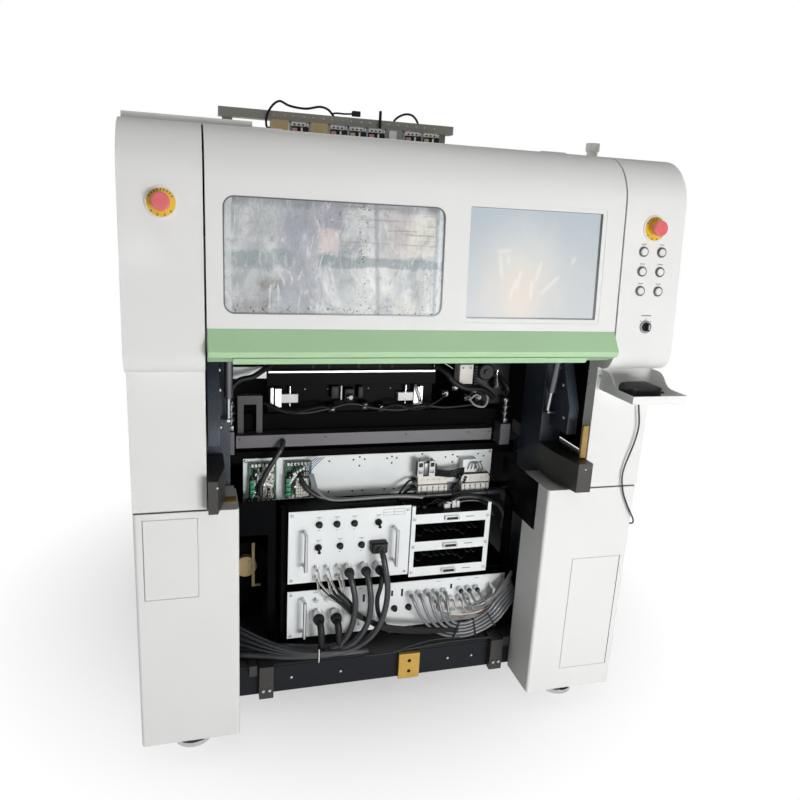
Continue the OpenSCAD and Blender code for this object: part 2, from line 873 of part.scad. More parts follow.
module mouse() {
  z0 = tray_floor + joint_gap;
  crown_r = (mouse_l * mouse_l / 4 + mouse_h * mouse_h / 4) / mouse_h;
  color(black) intersection() {
    translate([mouse_x, mouse_y, z0]) linear_extrude(mouse_h) rounded(mouse_l, mouse_w, mouse_w * 0.42);
    translate([mouse_x, mouse_y + mouse_w, z0 + mouse_h - crown_r - 6]) rotate([90, 0, 0])
      cylinder(r = crown_r + 6, h = 2 * mouse_w, $fn = 96);
    translate([mouse_x - mouse_l, mouse_y, z0 + mouse_h - mouse_w]) rotate([0, 90, 0])
      cylinder(r = mouse_w, h = 2 * mouse_l, $fn = 96);
  }
}

// The mouse's cord: over the tray, through its hole, down the column and round its edge
cord_d = 4;
cord_top = 892;
gland_z = 520;
cord_shape = [
  [578.3, -944, 904], [588, -944, 903], [597, -939, 900], [600, -928, 897.5], [597, -914, 896.5],
  [590, -902, 896.5], [582, -893, 896], [576, -887, 891], [573, -884, 880], [573, -882, 865],
  [578, -881, 840], [584, -880, 812], [586, -878, 790], [582, -877, 760], [572, -877, 725],
  [563, -877, 695], [560, -876, 668], [564, -876, 640], [573, -876, 612], [586, -877, 585],
  [600, -876, 562], [611, -874, 545], [618, -866, 531], [618, -856, 524], [617, -846, 521],
  [616, -836.2, 520]
];
cord_route = [for (p = cord_shape) [p[0] + half_w - 610, p[1] + lower_y + 868,
  gland_z + (p[2] - gland_z) * (tray_h - gland_z) / (cord_top - gland_z)]];
gland_at = [half_w + 6, lower_y + 56, gland_z];
gland_l = 24;
gland_r = 8.5;

module mouse_cord() {
  color(black) cable(cord_route, cord_d, 3, 8);
}

module cord_gland() {
  color(black) {
    translate([half_w, gland_at[1], gland_at[2]]) rotate([0, 90, 0]) {
      cylinder(r = 14, h = 3);
      cylinder(r = gland_r, h = 14);
    }
    translate(gland_at) rotate([90, 0, 0]) cylinder(r = gland_r - 3.5, h = gland_l);
  }
}

// Docking guides for the feeder cart, with brackets on the base beam
dock_z = [split_h + 6, split_h + 80];
dock_y = [lower_y - 36, -post_y - joint_gap];
dock_gap = 815;
dock_x = bay_x + 4;
dock_taper = 18;
dock_taper_l = 85;
hook_x = 316;

module dock_guide(wall, inner) {
  translate([0, 0, dock_z[0]]) linear_extrude(dock_z[1] - dock_z[0]) polygon([
    [wall, dock_y[1]], [wall, dock_y[0]], [inner + sign(inner) * dock_taper, dock_y[0]],
    [inner, dock_y[0] + dock_taper_l], [inner, dock_y[1]]]);
}

module dock_hook() {
  across(-18, 18) polygon([
    [front_beam_y - joint_gap, frame_foot_h - 2], [front_beam_y - 20, frame_foot_h - 2],
    [front_beam_y - 20, frame_top_h + 14], [front_beam_y + 34, frame_top_h + 14],
    [front_beam_y + 34, floor_h + joint_gap], [front_beam_y - joint_gap, floor_h + joint_gap]]);
}

// A low angle plate beside each hook, on its outer side
module dock_angle() {
  across(22, 42) polygon([
    [front_beam_y - joint_gap, frame_top_h - 16], [front_beam_y - 8, frame_top_h - 16],
    [front_beam_y - 8, frame_top_h + 14], [front_beam_y + 34, frame_top_h + 14],
    [front_beam_y + 34, floor_h + joint_gap], [front_beam_y - joint_gap, floor_h + joint_gap]]);
}

dock_plate_x = [36, 94];
dock_plate_t = 14;

module dock_plate() {
  mid = (dock_plate_x[0] + dock_plate_x[1]) / 2;
  difference() {
    span(dock_plate_x, [front_beam_y - dock_plate_t, front_beam_y - joint_gap],
      [frame_foot_h + 1, frame_top_h]);
    for (z = [22, 54]) translate([mid, front_beam_y - dock_plate_t - past, frame_foot_h + z])
      rotate([-90, 0, 0]) cylinder(r = 5, h = dock_plate_t + 2 * past);
  }
}

module dock_guides() {
  color([0.24, 0.23, 0.21]) {
    dock_guide(-hood_half, dock_x - dock_gap / 2);
    dock_guide(hood_half, dock_x + dock_gap / 2);
    both() translate([hook_x, 0, 0]) {
      dock_hook();
      dock_angle();
    }
  }
  color([0.82, 0.66, 0.3]) dock_plate();
}

// Control rack in the bay
rack_y = face_y + rack_setback;
rack_back_y = rack_y + rack_d;
rack_x = rack_mid - rack_w / 2;
shelf_t = 4;
shelf_h = floor_h + 34;
shelf_side = 1.2;
rack_gap = 19;
io_z = [shelf_h + shelf_t + joint_gap, shelf_h + shelf_t + joint_gap + io_h];
top_shelf = [io_z[1] + rack_gap, io_z[1] + rack_gap + shelf_t];
control_z = [top_shelf[1] + joint_gap, top_shelf[1] + joint_gap + control_h];
rack_right = rack_x + rack_w;
control_right = rack_x + control_w;
rack_post_w = 14;
panel_y = bed_front_y - 25;
panel_x = bay_x - 1;
panel_z = [bed_h - 232, bed_h - 232 + panel_h];

module rack_frame() {
  post_low = floor_h + joint_gap;
  color(black) {
    for (x = [rack_x - 1.5 - rack_post_w, rack_right + 1.5])
      for (y = [rack_y + 20, rack_back_y - 40])
        span([x, x + rack_post_w], [y, y + 30], [post_low, control_z[1]]);
    for (x = [rack_x, rack_x + rack_w / 2, rack_right - 30])
      span([x, x + 30], [rack_y + 20, rack_back_y], [post_low, shelf_h - joint_gap]);
    for (z = [[shelf_h, shelf_h + shelf_t], top_shelf])
      span([rack_x - shelf_side, rack_right + shelf_side], [rack_y + 6, rack_back_y], z);
    span([-frame_in + joint_gap, frame_in - joint_gap], [panel_y + 2 + joint_gap, bed_front_y - 5],
      [panel_z[1] - 12, bed_h - 95]);
    span([-frame_in + joint_gap, frame_in - joint_gap], [panel_y + 2 + joint_gap, bed_front_y - 5],
      [panel_z[0], panel_z[0] + 12]);
  }
}

module board_panel() {
  color(panel_white) difference() {
    span([panel_x - panel_w / 2, panel_x + panel_w / 2], [panel_y, panel_y + 2], panel_z);
    for (x = [-1, 1], z = [6, panel_h - 6])
      translate([panel_x + x * (panel_w / 2 - 6), panel_y - past, panel_z[0] + z]) rotate([-90, 0, 0])
        cylinder(r = 2.5, h = 4);
  }
}

board_w = 70;
board_h = 104;
board_x = [panel_x - panel_w / 2 + 14, panel_x - panel_w / 2 + 106];
standoff = 10;

module circuit_boards() {
  z0 = panel_z[0] + (panel_h - board_h) / 2;
  color([0.12, 0.42, 0.28]) for (x = board_x) {
    span([x, x + board_w], [panel_y - standoff - 2, panel_y - standoff], [z0, z0 + board_h]);
    for (i = [5, board_w - 5], k = [5, board_h - 5])
      translate([x + i, panel_y - joint_gap, z0 + k]) rotate([90, 0, 0])
        cylinder(r = 3, h = standoff);
    for (k = [0:4]) span([x + board_w - 22, x + board_w - 8],
      [panel_y - standoff - 12, panel_y - standoff - 2], [z0 + 8 + k * 18, z0 + 22 + k * 18]);
    span([x + 8, x + 26], [panel_y - standoff - 18, panel_y - standoff - 2], [z0 + 30, z0 + 70]);
  }
}

valve_x = [[105, 190], [232, 313]];
valve_reach = 40;
// Depth kept free in front of the board panel, for the valves and the cable along it
panel_clear = 63;

module valve_blocks() {
  color([0.80, 0.78, 0.72]) for (v = valve_x) {
    z0 = panel_z[0] + 8;
    span([v[0], v[1]], [panel_y - valve_reach, panel_y - joint_gap], [z0, z0 + 26]);
    span([v[0], v[1]], [panel_y - 34, panel_y - joint_gap], [z0 + 26, z0 + 52]);
    span([v[0] + 4, v[0] + 46], [panel_y - 26, panel_y - joint_gap], [z0 + 52, z0 + 92]);
  }
}

// A front plate stands past the box behind it, which stays under what is above it
panel_room = 4.2;
box_drop = 14;

module rack_box(x, z, top) {
  span(x, [rack_y, rack_y + 3], z);
  span(x + [6, -6], [rack_y + 3, rack_back_y], [z[0], top]);
}

module control_box() {
  color(panel_white) difference() {
    rack_box([rack_x, control_right - 1], control_z, panel_z[0] - panel_room);
    for (p = toggle_xz) on_rack(p, control_z[0]) translate([0, 0, -toggle_hole_l])
      cylinder(r = toggle_ball_r + button_gap, h = toggle_hole_l + past);
  }
}

module io_box() {
  color(panel_white) rack_box([rack_x, rack_right], io_z, io_z[1] - box_drop);
}

// Card rack: three strips with two gaps for cards; the lowest strip hangs in front of the shelf
card_z = [for (z = [-10, 64.5, 143.5]) control_z[0] + z];
card_strip_h = 28;
card_x = [control_right + 2, rack_right - 60];
card_post_w = 10;

module card_rack() {
  top = card_z[2] + card_strip_h;
  inside = card_x + [12, -14];
  color(panel_white) {
    difference() {
      union() {
        span(card_x, [rack_y, rack_back_y - 40], [control_z[0], top]);
        span(card_x, [rack_y, rack_y + 3], [card_z[0], control_z[0] + past]);
      }
      for (k = [0, 1]) span(inside, [rack_y - past, rack_back_y - 60],
        [card_z[k] + card_strip_h, card_z[k + 1]]);
      span(inside, [rack_y + 3, rack_back_y - 60],
        [control_z[0] + 2, card_z[0] + card_strip_h - 1]);
      span(card_x + [-past, past], [panel_y - panel_clear, rack_back_y],
        [panel_z[0] - bore_gap, max(top, panel_z[0]) + past]);
    }
    for (x = [card_x[0], card_x[1] - card_post_w])
      span([x, x + card_post_w], [rack_y, rack_y + 8], [top - past, control_z[1] - 5]);
  }
}

// Handles on the rack's front plates
handle_r = 4.5;
handle_reach = 32;
handle_l = 102;
handles = [[rack_x + 41, control_z[1] - 49.7], [control_right - 44, control_z[1] - 53.7],
  [rack_x + 41, io_z[1] - 16.7], [rack_right - 44, io_z[1] - 23.5]];

module rack_handles() {
  color(steel) for (h = handles) translate([h[0], rack_y - joint_gap, h[1]]) {
    translate([0, -handle_reach, -handle_l]) cylinder(r = handle_r, h = handle_l);
    for (z = [-handle_r, -handle_l + handle_r])
      translate([0, 0, z]) rotate([90, 0, 0]) cylinder(r = handle_r, h = handle_reach);
  }
}

// Fuse caps, round connectors, one big connector and the toggle bushings, from the rack's left end
fuse_xz = [[78, 162], [124, 161], [170, 160], [134, 99], [191, 98]];
io_fuse_xz = [[290, 60], [330, 60]];
small_socket_xz = [for (i = [0:2], k = [0, 1]) [72.6 + 28.5 * i, 13 + 29 * k]];
big_socket_xz = [[155, 35], [199, 35], [236, 35]];
io_row_x = 331;
io_row_pitch = 24.2;
io_row_skip = 22;
io_row_h = 102;
io_socket_xz = concat(
  [for (i = [0:7]) [io_row_x + io_row_pitch * i + (i > 4 ? io_row_skip : 0), io_row_h]],
  [for (i = [0:4]) [402 + 23.5 * i, 77]]);
io_big_xz = [[78, 68], [124, 66]];
toggle_xz = [[234, 159], [77, 99]];
plug_xz = [236, 93];
plug_l = 18;
big_socket_l = 24;
io_socket_l = 16;
toggle_bush_r = 9;
toggle_ball_r = 6.2;
toggle_hole_l = 8;

module on_rack(xz, z0) {
  translate([rack_x + xz[0], rack_y - joint_gap, z0 + xz[1]]) rotate([90, 0, 0]) children();
}

module socket(r, h) {
  cylinder(r = r + 2.5, h = 3);
  cylinder(r = r, h = h);
}

module rack_fittings() {
  color(black) {
    for (p = fuse_xz) on_rack(p, control_z[0]) socket(6.5, 11);
    for (p = io_fuse_xz) on_rack(p, io_z[0]) socket(6.5, 11);
    for (p = toggle_xz) on_rack(p, control_z[0]) difference() {
      cylinder(r = toggle_bush_r, h = 5);
      translate([0, 0, -past]) cylinder(r = toggle_ball_r + button_gap, h = 7);
    }
    on_rack(plug_xz, control_z[0]) linear_extrude(plug_l) rounded(44, 30, 3);
  }
  color(steel) {
    for (p = small_socket_xz) on_rack(p, control_z[0]) socket(6, 14);
    for (p = big_socket_xz) on_rack(p, control_z[0]) socket(12, big_socket_l);
    for (p = io_socket_xz) on_rack(p, io_z[0]) socket(6, io_socket_l);
    for (p = io_big_xz) on_rack(p, io_z[0]) socket(13, 26);
    for (z = card_z) translate([(card_x[0] + card_x[1]) / 2, rack_y - joint_gap, z + card_strip_h / 2])
      rotate([90, 0, 0]) linear_extrude(7) rounded(42, 13, 4);
  }
}

toggle_tilt = 20;

module toggle(i) {
  color(black) on_rack(toggle_xz[i], control_z[0]) translate([0, 0, 2.5]) rotate([toggle_tilt, 0, 0]) {
    sphere(r = toggle_ball_r);
    cylinder(r = 3, h = 20);
    translate([0, 0, 18]) sphere(r = 4);
  }
}

// Cables in the bay, from the sockets down to the floor and away to the left or right
function lead_y(l) = rack_y - joint_gap - l - 0.3;
big_y = lead_y(big_socket_l);
plug_y = lead_y(plug_l);
io_y = lead_y(io_socket_l);
big_z = control_z[0] + big_socket_xz[0][1];
big_x = [for (b = big_socket_xz) rack_x + b[0]];
plug_x = rack_x + plug_xz[0];
plug_z = control_z[0] + plug_xz[1];
io_row_z = io_z[0] + io_row_h;
left_routes = [
  [[big_x[0], big_y, big_z], [big_x[0], -728, big_z], [-94, -742, 338], [-88, -745, 296], [-94, -745, 240],
    [-112, -742, 196], [-151, -738, 170], [-208, -728, 163], [-270, -714, 163], [-330, -694, 163],
    [-385, -666, 163]],
  [[big_x[1], big_y, big_z], [big_x[1], -728, big_z], [-51, -744, 338], [-48, -748, 292], [-56, -749, 235],
    [-86, -748, 190], [-134, -745, 168], [-198, -740, 163], [-264, -728, 163], [-326, -710, 163],
    [-385, -686, 163]],
  [[plug_x, plug_y, plug_z], [plug_x, -736, plug_z], [-14, -752, 392], [-6, -755, 330], [-16, -757, 258],
    [-48, -757, 202], [-102, -753, 170], [-168, -752, 163], [-242, -744, 163], [-310, -728, 163],
    [-385, -706, 163]]
];
right_routes = [for (i = [0:4]) [
  [rack_x + io_row_x + io_row_pitch * i, io_y, io_row_z],
  [rack_x + io_row_x + io_row_pitch * i, -718, io_row_z],
  [94 + 20 * i, -732, 238 + 2 * i], [124 + 14 * i, -738, 199 + 6 * i], [168 + 6 * i, -740, 172 + 9 * i],
  [224, -740, 163 + 10 * i], [276 - 4 * i, -740, 176 + 10 * i], [318 - 7 * i, -742, 204 + 8.5 * i],
  [rack_right - 8 - 8 * i, -736, 232 + 8 * i], [384 - 4 * i, -715, 262 + 9 * i]]];
loom_route = [[-385, -640, 176], [-330, -672, 172], [-290, -698, 168], [-230, -714, 164],
  [-180, -722, 163], [-120, -726, 163]];
top_y = panel_y - panel_clear + 12;
shelf_z = panel_z[0];
top_z = shelf_z + 9.8;
shelf_route = [[-218, panel_y - 12.3, shelf_z + 72], [-218, panel_y - 24, shelf_z + 72],
  [-208, panel_y - 40, shelf_z + 54], [-180, top_y, (shelf_z + 46 + top_z) / 2], [-120, top_y, top_z],
  [-40, top_y, top_z], [60, top_y, top_z], [160, top_y, top_z],
  [250, top_y, top_z], [332, top_y, top_z], [385, panel_y - 44, top_z + 4]];
beam_y = bed_front_y - deck_beam_d - 0.3;
sleeve_z = deck_beam_z[0] + 17;
sleeve_route = [[-262, beam_y, sleeve_z], [-262, -602, sleeve_z], [-270, -616, sleeve_z - 16],
  [-290, -620, sleeve_z - 47], [-310, -620, sleeve_z - 82], [-320, -618, sleeve_z - 114],
  [-318, -616, sleeve_z - 142]];

module bay_cables() {
  color([0.16, 0.16, 0.17]) {
    for (r = left_routes) cable(r, 17);
    for (r = right_routes) cable(r, 9);
    cable(loom_route, 26);
    cable(shelf_route, 16);
    cable(sleeve_route, 14);
  }
}

// Blower motor beside the rack
pump_r = 66;
pump_c = [-352, 320];
pump_y = [-520, -390];

module vacuum_pump() {
  color([0.72, 0.66, 0.52]) {
    translate([pump_c[0], pump_y[1], pump_c[1]]) rotate([90, 0, 0]) {
      cylinder(r = pump_r, h = pump_y[1] - pump_y[0]);
      cylinder(r = pump_r * 0.45, h = pump_y[1] - pump_y[0] + 18);
    }
    span([pump_c[0] - 45, pump_c[0] + 45], [pump_y[0] + 20, pump_y[1] - 20],
      [floor_h + joint_gap, pump_c[1] - pump_r + 12]);
  }
}

// Feeder bank on the front of the bed
bank_y = bed_front_y + 6;
bank_x = [-297, 151];
bank_bar_z = [bed_h + 76, bed_h + 109];
bank_strip_z = [bank_bar_z[1] + joint_gap, bank_bar_z[1] + 6];
bank_top_z = [bank_strip_z[1] + joint_gap, bank_strip_z[1] + 15];
clamp_x = [-262, 92];
// Hoop on the cross beam, at the bank's left end
hoop_x = [-375, -312];
hoop_y = [bed_front_y - 22, bed_front_y - joint_gap];
hoop_leg = 16;
hoop_top_h = bed_h + 54;
hoop_bar_h = 24;

// A clamp: a block with two plates at its left
module bank_clamp() {
  span([0, 42], [bank_y - 16, bank_y - joint_gap], [bed_h + 30, bed_h + 53]);
  span([-18, -1], [bank_y - 20, bank_y - joint_gap], [bed_h + 19, bed_h + 69]);
  span([-29, -20], [bank_y - 12, bank_y - joint_gap], [bed_h + 19, bed_h + 69]);
}

module feeder_bank() {
  color(black) {
    span(bank_x, [bank_y, bank_y + 10], [bed_h + joint_gap, bank_bar_z[0]]);
    span(bank_x + [-4, 4], [bank_y - 14, bank_y + 28], bank_bar_z);
    span(bank_x, [bank_y - 6, bank_y + 28], bank_top_z);
  }
  color(steel) span(bank_x, [bank_y - 18, bank_y + 20], bank_strip_z);
  color([0.92, 0.92, 0.9]) {
    translate([clamp_x[0], 0, 0]) bank_clamp();
    translate([clamp_x[1], 0, 0]) mirror([1, 0, 0]) bank_clamp();
  }
  color(grey) difference() {
    span(hoop_x, hoop_y, [deck_beam_z[1] + joint_gap, hoop_top_h]);
    span(hoop_x + [hoop_leg, -hoop_leg], hoop_y + [-past, past],
      [deck_beam_z[1] - past, hoop_top_h - hoop_bar_h]);
  }
}

// Gantry: rails on the side frames, beam on the rails, head on the beam
rail_w = 20;
rail_h = 18;
rail_l = 1200;
rail_x = rail_gap / 2;
carriage_w = 44;
carriage_l = 140;
carriage_h = 34;
beam_d = 120;
beam_low = side_frame_h + slide_gap + carriage_h;
guide_z = [beam_low + 12, beam_low + beam_h - 28];
guide_t = 12;
guide_w = 16;

module y_rails() {
  color(steel) both() span([rail_x - rail_w / 2, rail_x + rail_w / 2], [-rail_l / 2, rail_l / 2],
    [side_frame_h, side_frame_h + rail_h]);
}

module x_beam() {
  color(grey) {
    span([-rail_x - carriage_w / 2, rail_x + carriage_w / 2],
      [gantry_y - beam_d / 2, gantry_y + beam_d / 2], [beam_low - past, beam_low + beam_h]);
    both() difference() {
      span([rail_x - carriage_w / 2, rail_x + carriage_w / 2],
        [gantry_y - carriage_l / 2, gantry_y + carriage_l / 2], [side_frame_h + slide_gap, beam_low]);
      span([rail_x - rail_w / 2 - slide_gap, rail_x + rail_w / 2 + slide_gap],
        [gantry_y - carriage_l, gantry_y + carriage_l],
        [side_frame_h - past, side_frame_h + rail_h + slide_gap]);
    }
    for (z = guide_z) span([-rail_x + 40, rail_x - 40],
      [gantry_y - beam_d / 2 - guide_t, gantry_y - beam_d / 2 + past], [z, z + guide_w]);
  }
}

head_w = 140;
head_d = 70;
head_y = gantry_y - beam_d / 2 - guide_t - slide_gap - head_d / 2;
head_low = beam_low - 70;
spindle_r = 25;
drum_h = 48;
nozzle_l = 28;

spindle_l = 60;

module head_carriage() {
  color(white) difference() {
    span([-head_w / 2, head_w / 2], [head_y - head_d / 2, head_y + head_d / 2],
      [head_low, beam_low + beam_h + 30]);
    for (z = guide_z) span([-head_w, head_w], [head_y + head_d / 2 - past, head_y + head_d],
      [z - slide_gap, z + guide_w + slide_gap]);
    translate([0, head_y, head_low - past])
      cylinder(r = spindle_r + bore_gap, h = spindle_l + slide_gap + past);
  }
}

module rotary_head() {
  top = head_low - slide_gap;
  color(steel) translate([0, head_y, top - drum_h]) {
    cylinder(r = drum_r, h = drum_h);
    translate([0, 0, drum_h - past]) cylinder(r = spindle_r, h = spindle_l + past);
    for (i = [0:nozzle_count - 1]) rotate([0, 0, 360 * i / nozzle_count])
      translate([drum_r - 10, 0, -nozzle_l]) {
        cylinder(r = 3, h = nozzle_l + past);
        translate([0, 0, -10]) cylinder(r1 = 1, r2 = 3, h = 10);
      }
  }
}

// Conveyor: rails for the board, on legs on the bed
conveyor_l = 1120;
conveyor_y = [-200, 60];
conveyor_t = 12;
conveyor_z = [bed_h + 115, bed_h + 145];
leg_x = 250;

leg_w = 40;
leg_lap = 14;
guide_rod_r = 8;
guide_rod_z = bed_h + 40;
rod_end_y = conveyor_y[1] + 270;
stop_t = 20;

module conveyor_leg(y, low) {
  span([leg_x - leg_w / 2, leg_x + leg_w / 2], [y - leg_lap, y + conveyor_t + leg_lap],
    [low, conveyor_z[0]]);
}

module fixed_conveyor() {
  y = conveyor_y[0];
  color(steel) {
    span([-conveyor_l / 2, conveyor_l / 2], [y, y + conveyor_t],
      [conveyor_z[0] + joint_gap, conveyor_z[1]]);
    both() {
      conveyor_leg(y, bed_h);
      translate([leg_x, y + conveyor_t + leg_lap + joint_gap, guide_rod_z]) rotate([-90, 0, 0])
        cylinder(r = guide_rod_r, h = rod_end_y - y - conveyor_t - leg_lap - 2 * joint_gap);
      span([leg_x - leg_w / 2, leg_x + leg_w / 2], [rod_end_y, rod_end_y + stop_t],
        [bed_h, guide_rod_z + leg_w / 2]);
    }
  }
}

module moving_conveyor() {
  y = conveyor_y[1];
  color(steel) difference() {
    union() {
      span([-conveyor_l / 2, conveyor_l / 2], [y, y + conveyor_t], conveyor_z);
      both() conveyor_leg(y, bed_h + slide_gap);
    }
    both() translate([leg_x, y - leg_lap - past, guide_rod_z]) rotate([-90, 0, 0])
      cylinder(r = guide_rod_r + bore_gap, h = conveyor_t + 2 * leg_lap + 2 * past);
  }
}

// Rail of valves on the roof
top_rail_x = -62;
top_rail_y = -200;
top_rail_z = roof_h + top_rail_rise;
top_rail_h = 24;
top_rail_d = 26;
rail_leg_x = top_rail_l / 2 - 26;
unit_h = 56;
unit_w = 46;
unit_d = 62;
unit_x = top_rail_x - (unit_count - 1) * unit_pitch / 2 + 45;

rail_t = 4;

module valve_unit(x) {
  z1 = top_rail_z - joint_gap;
  span([x - unit_w / 2, x + unit_w / 2], [top_rail_y - unit_d / 2, top_rail_y + unit_d / 2 - 10],
    [z1 - unit_h * 0.45, z1]);
  span([x - unit_w / 2, x + 4], [top_rail_y - unit_d / 2 - 6, top_rail_y + unit_d / 2 - 12],
    [z1 - unit_h, z1 - unit_h * 0.45]);
}

module top_rail() {
  front = top_rail_y - top_rail_d / 2;
  back = top_rail_y + top_rail_d;
  color([0.62, 0.60, 0.56]) {
    across(top_rail_x - top_rail_l / 2, top_rail_x + top_rail_l / 2) polygon([
      [front, top_rail_z], [front, top_rail_z + top_rail_h], [front + rail_t, top_rail_z + top_rail_h],
      [front + rail_t, top_rail_z + rail_t], [back, top_rail_z + rail_t], [back, top_rail_z]]);
    for (s = [-1, 1]) span([top_rail_x + s * rail_leg_x - 14, top_rail_x + s * rail_leg_x + 14],
      [back - rail_t, back], [roof_h, top_rail_z + past]);
  }
  color([0.78, 0.70, 0.50]) for (i = [0:unit_count - 1]) valve_unit(unit_x + i * unit_pitch);
}

lead_z = top_rail_z + rail_t;
first_unit_x = unit_x - unit_w / 2;
lead_routes = [
  [[first_unit_x - 0.3, -206, 1492], [first_unit_x - 9, -207, 1492], [-273, -214, 1502], [-272, -221, 1522],
    [-258, -221, 1548], [-236, -218, 1564], [-212, -208, 1554], [-160, -202, 1550], [-124, -200, 1560],
    [-96, -200, 1554], [-80, -198, 1536], [-62, -196, 1530], [-30, -196, 1529], [-20.3, -196, 1529]],
  [[96, -190, lead_z + 0.3], [96, -190, 1530], [106, -190, 1548], [132, -192, 1562], [156, -192, 1560],
    [172, -190, 1544], [176, -189, 1528], [176, -189, lead_z + 0.3]]
];
lead_plug = [-20, 4];

module rail_leads() {
  color(black) {
    for (r = lead_routes) cable(r, 7);
    span(lead_plug, [-206, -186], [lead_z + joint_gap, lead_z + 21]);
    span([lead_plug[1] + 1, lead_plug[1] + 60], [-204, -188], [lead_z + joint_gap, lead_z + 17]);
  }
}

beacon_r = 18;
beacon_xy = [column_x - 2, face_y + 330];

module beacon_base() {
  color([0.9, 0.9, 0.88]) translate([beacon_xy[0], beacon_xy[1], roof_h]) {
    cylinder(r = beacon_r + 10, h = 5);
    cylinder(r = beacon_r - 4, h = 30);
    translate([0, 0, 30]) cylinder(r = beacon_r, h = 20);
  }
}

centred() levelling_feet();
centred() base_frame();
centred() cover_frame();
centred() side_frames();
centred() machine_bed();
centred() deck_beam();
centred() left_lower_cover();
centred() right_lower_cover();
centred() left_upper_cover();
centred() right_upper_cover();
centred() side_panels();
centred() rear_covers();
centred() access_panels();
centred() roof_panel();
centred() hinge_pins();
centred() top_rail();
centred() rail_leads();
centred() beacon_base();
centred() switch_bezels();
centred() mouse_tray();
centred() mouse();
centred() mouse_cord();
centred() cord_gland();
centred() dock_guides();
centred() rack_frame();
centred() board_panel();
centred() circuit_boards();
centred() valve_blocks();
centred() control_box();
centred() card_rack();
centred() io_box();
centred() rack_handles();
centred() rack_fittings();
centred() bay_cables();
centred() vacuum_pump();
centred() feeder_bank();
centred() y_rails();
centred() fixed_conveyor();
centred() moving_conveyor();
centred() front_hood();
centred() hood_window();
centred() monitor();
centred() green_strip();
centred() rear_hood();
centred() strut_rods();
centred() strut_tubes();
centred() left_estop();
centred() right_estop();
centred() button(0);  // button_1
centred() button(1);  // button_2
centred() button(2);  // button_3
centred() button(3);  // button_4
centred() button(4);  // button_5
centred() button(5);  // button_6
centred() selector_knob();
centred() toggle(0);  // toggle_1
centred() toggle(1);  // toggle_2
centred() x_beam();
centred() head_carriage();
centred() rotary_head();
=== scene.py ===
"""Looks of the chip mounter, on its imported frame."""

import math
import random

import bmesh
import bpy
from mathutils import Matrix, Vector


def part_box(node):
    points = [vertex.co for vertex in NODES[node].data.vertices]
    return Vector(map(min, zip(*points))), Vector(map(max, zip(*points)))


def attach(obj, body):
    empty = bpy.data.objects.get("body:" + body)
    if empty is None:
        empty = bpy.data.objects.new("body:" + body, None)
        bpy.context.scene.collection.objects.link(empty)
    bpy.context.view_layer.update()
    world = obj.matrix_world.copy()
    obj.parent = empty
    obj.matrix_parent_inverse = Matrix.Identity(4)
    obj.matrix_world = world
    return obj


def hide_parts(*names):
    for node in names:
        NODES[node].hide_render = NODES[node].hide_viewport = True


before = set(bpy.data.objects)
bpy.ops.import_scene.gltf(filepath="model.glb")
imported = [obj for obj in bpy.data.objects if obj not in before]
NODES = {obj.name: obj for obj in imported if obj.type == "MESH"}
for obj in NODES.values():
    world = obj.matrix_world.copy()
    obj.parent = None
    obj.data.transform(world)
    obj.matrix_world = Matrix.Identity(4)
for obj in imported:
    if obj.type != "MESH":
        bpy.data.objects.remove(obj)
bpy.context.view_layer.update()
random.seed(7)
draw = random.random

# The CAD's own frame: millimetres about the middle of the base frame, and the lean of the hood's face
MID_Y = sum(v.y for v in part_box("base_frame")) / 2
LEAN = math.radians(3.95)
RIGHT = Vector((1, 0, 0))
UP = Vector((0, math.sin(LEAN), math.cos(LEAN)))
OUT = Vector((0, -math.cos(LEAN), math.sin(LEAN)))
FRONT = Vector((0, -1, 0))
SKY = Vector((0, 0, 1))
TURN = 6.283185

# Places of CAD pieces that the looks refer to
HOOD_Y, HOOD_Z = -925, 1043
WINDOW_X, WINDOW_Z = -195, HOOD_Z + 142 * math.cos(LEAN)
SCREEN_X, SCREEN_Z = 243, HOOD_Z + 143.5 * math.cos(LEAN)
KEYS_X = 532.5
STOP_Z, SELECTOR_Z = 1277, 1055
PANEL_Y, BOARD_Y, RACK_Y = -575, -587, -690
BOARDS_X = (-347, -255)
FUSES = ((-179, 502.1), (-133, 501.1), (-87, 500.1), (-123, 439.1), (-66, 438.1))
TOGGLES = ((-23, 499.1), (-180, 439.1))
SPARE_CAPS = ((33, 241.4), (73, 241.4))
ROUND_PLUGS = ((-179, 249.4), (-133, 247.4))
IO_ROW = [74 + 24.2 * i + (22 if i > 4 else 0) for i in range(8)]
IO_Z = 283.4
CARDS_Z = (344.1, 418.6, 497.6)


def at(x, y, z):
    """A point in the row frame, from the CAD's millimetres"""
    return Vector((x / 1000, y / 1000 + MID_Y, z / 1000))


def face(x, z, out=0.0):
    """A point on the hood's face at height z, out mm in front of it"""
    return at(x, HOOD_Y + (z - HOOD_Z) * math.tan(LEAN), z) + OUT * (out / 1000)


def show(o):
    bpy.context.scene.collection.objects.link(o)


# Camera, as in the photograph
def set_camera():
    yaw, pitch, roll = 0.2878, 0.2542, -0.0548
    cam = bpy.data.objects.new("camera", bpy.data.cameras.new("camera"))
    cam.data.lens = 32.445
    cam.data.sensor_width = 36
    cam.data.clip_end = 60
    cam.matrix_world = (Matrix.Translation(at(-480.0, -2370.6, 1282.4)) @ Matrix.Rotation(-yaw, 4, "Z")
                        @ Matrix.Rotation(math.pi / 2 - pitch, 4, "X") @ Matrix.Rotation(-roll, 4, "Z"))
    show(cam)
    bpy.context.scene.camera = cam


set_camera()


# Materials
def rgb(code, scale=1.0):
    """Linear colour from a hex code"""
    out = []
    for i in (0, 2, 4):
        c = int(code[i:i + 2], 16) / 255
        out.append(min(1.0, scale * (c / 12.92 if c <= 0.04045 else ((c + 0.055) / 1.055) ** 2.4)))
    return (*out, 1.0)


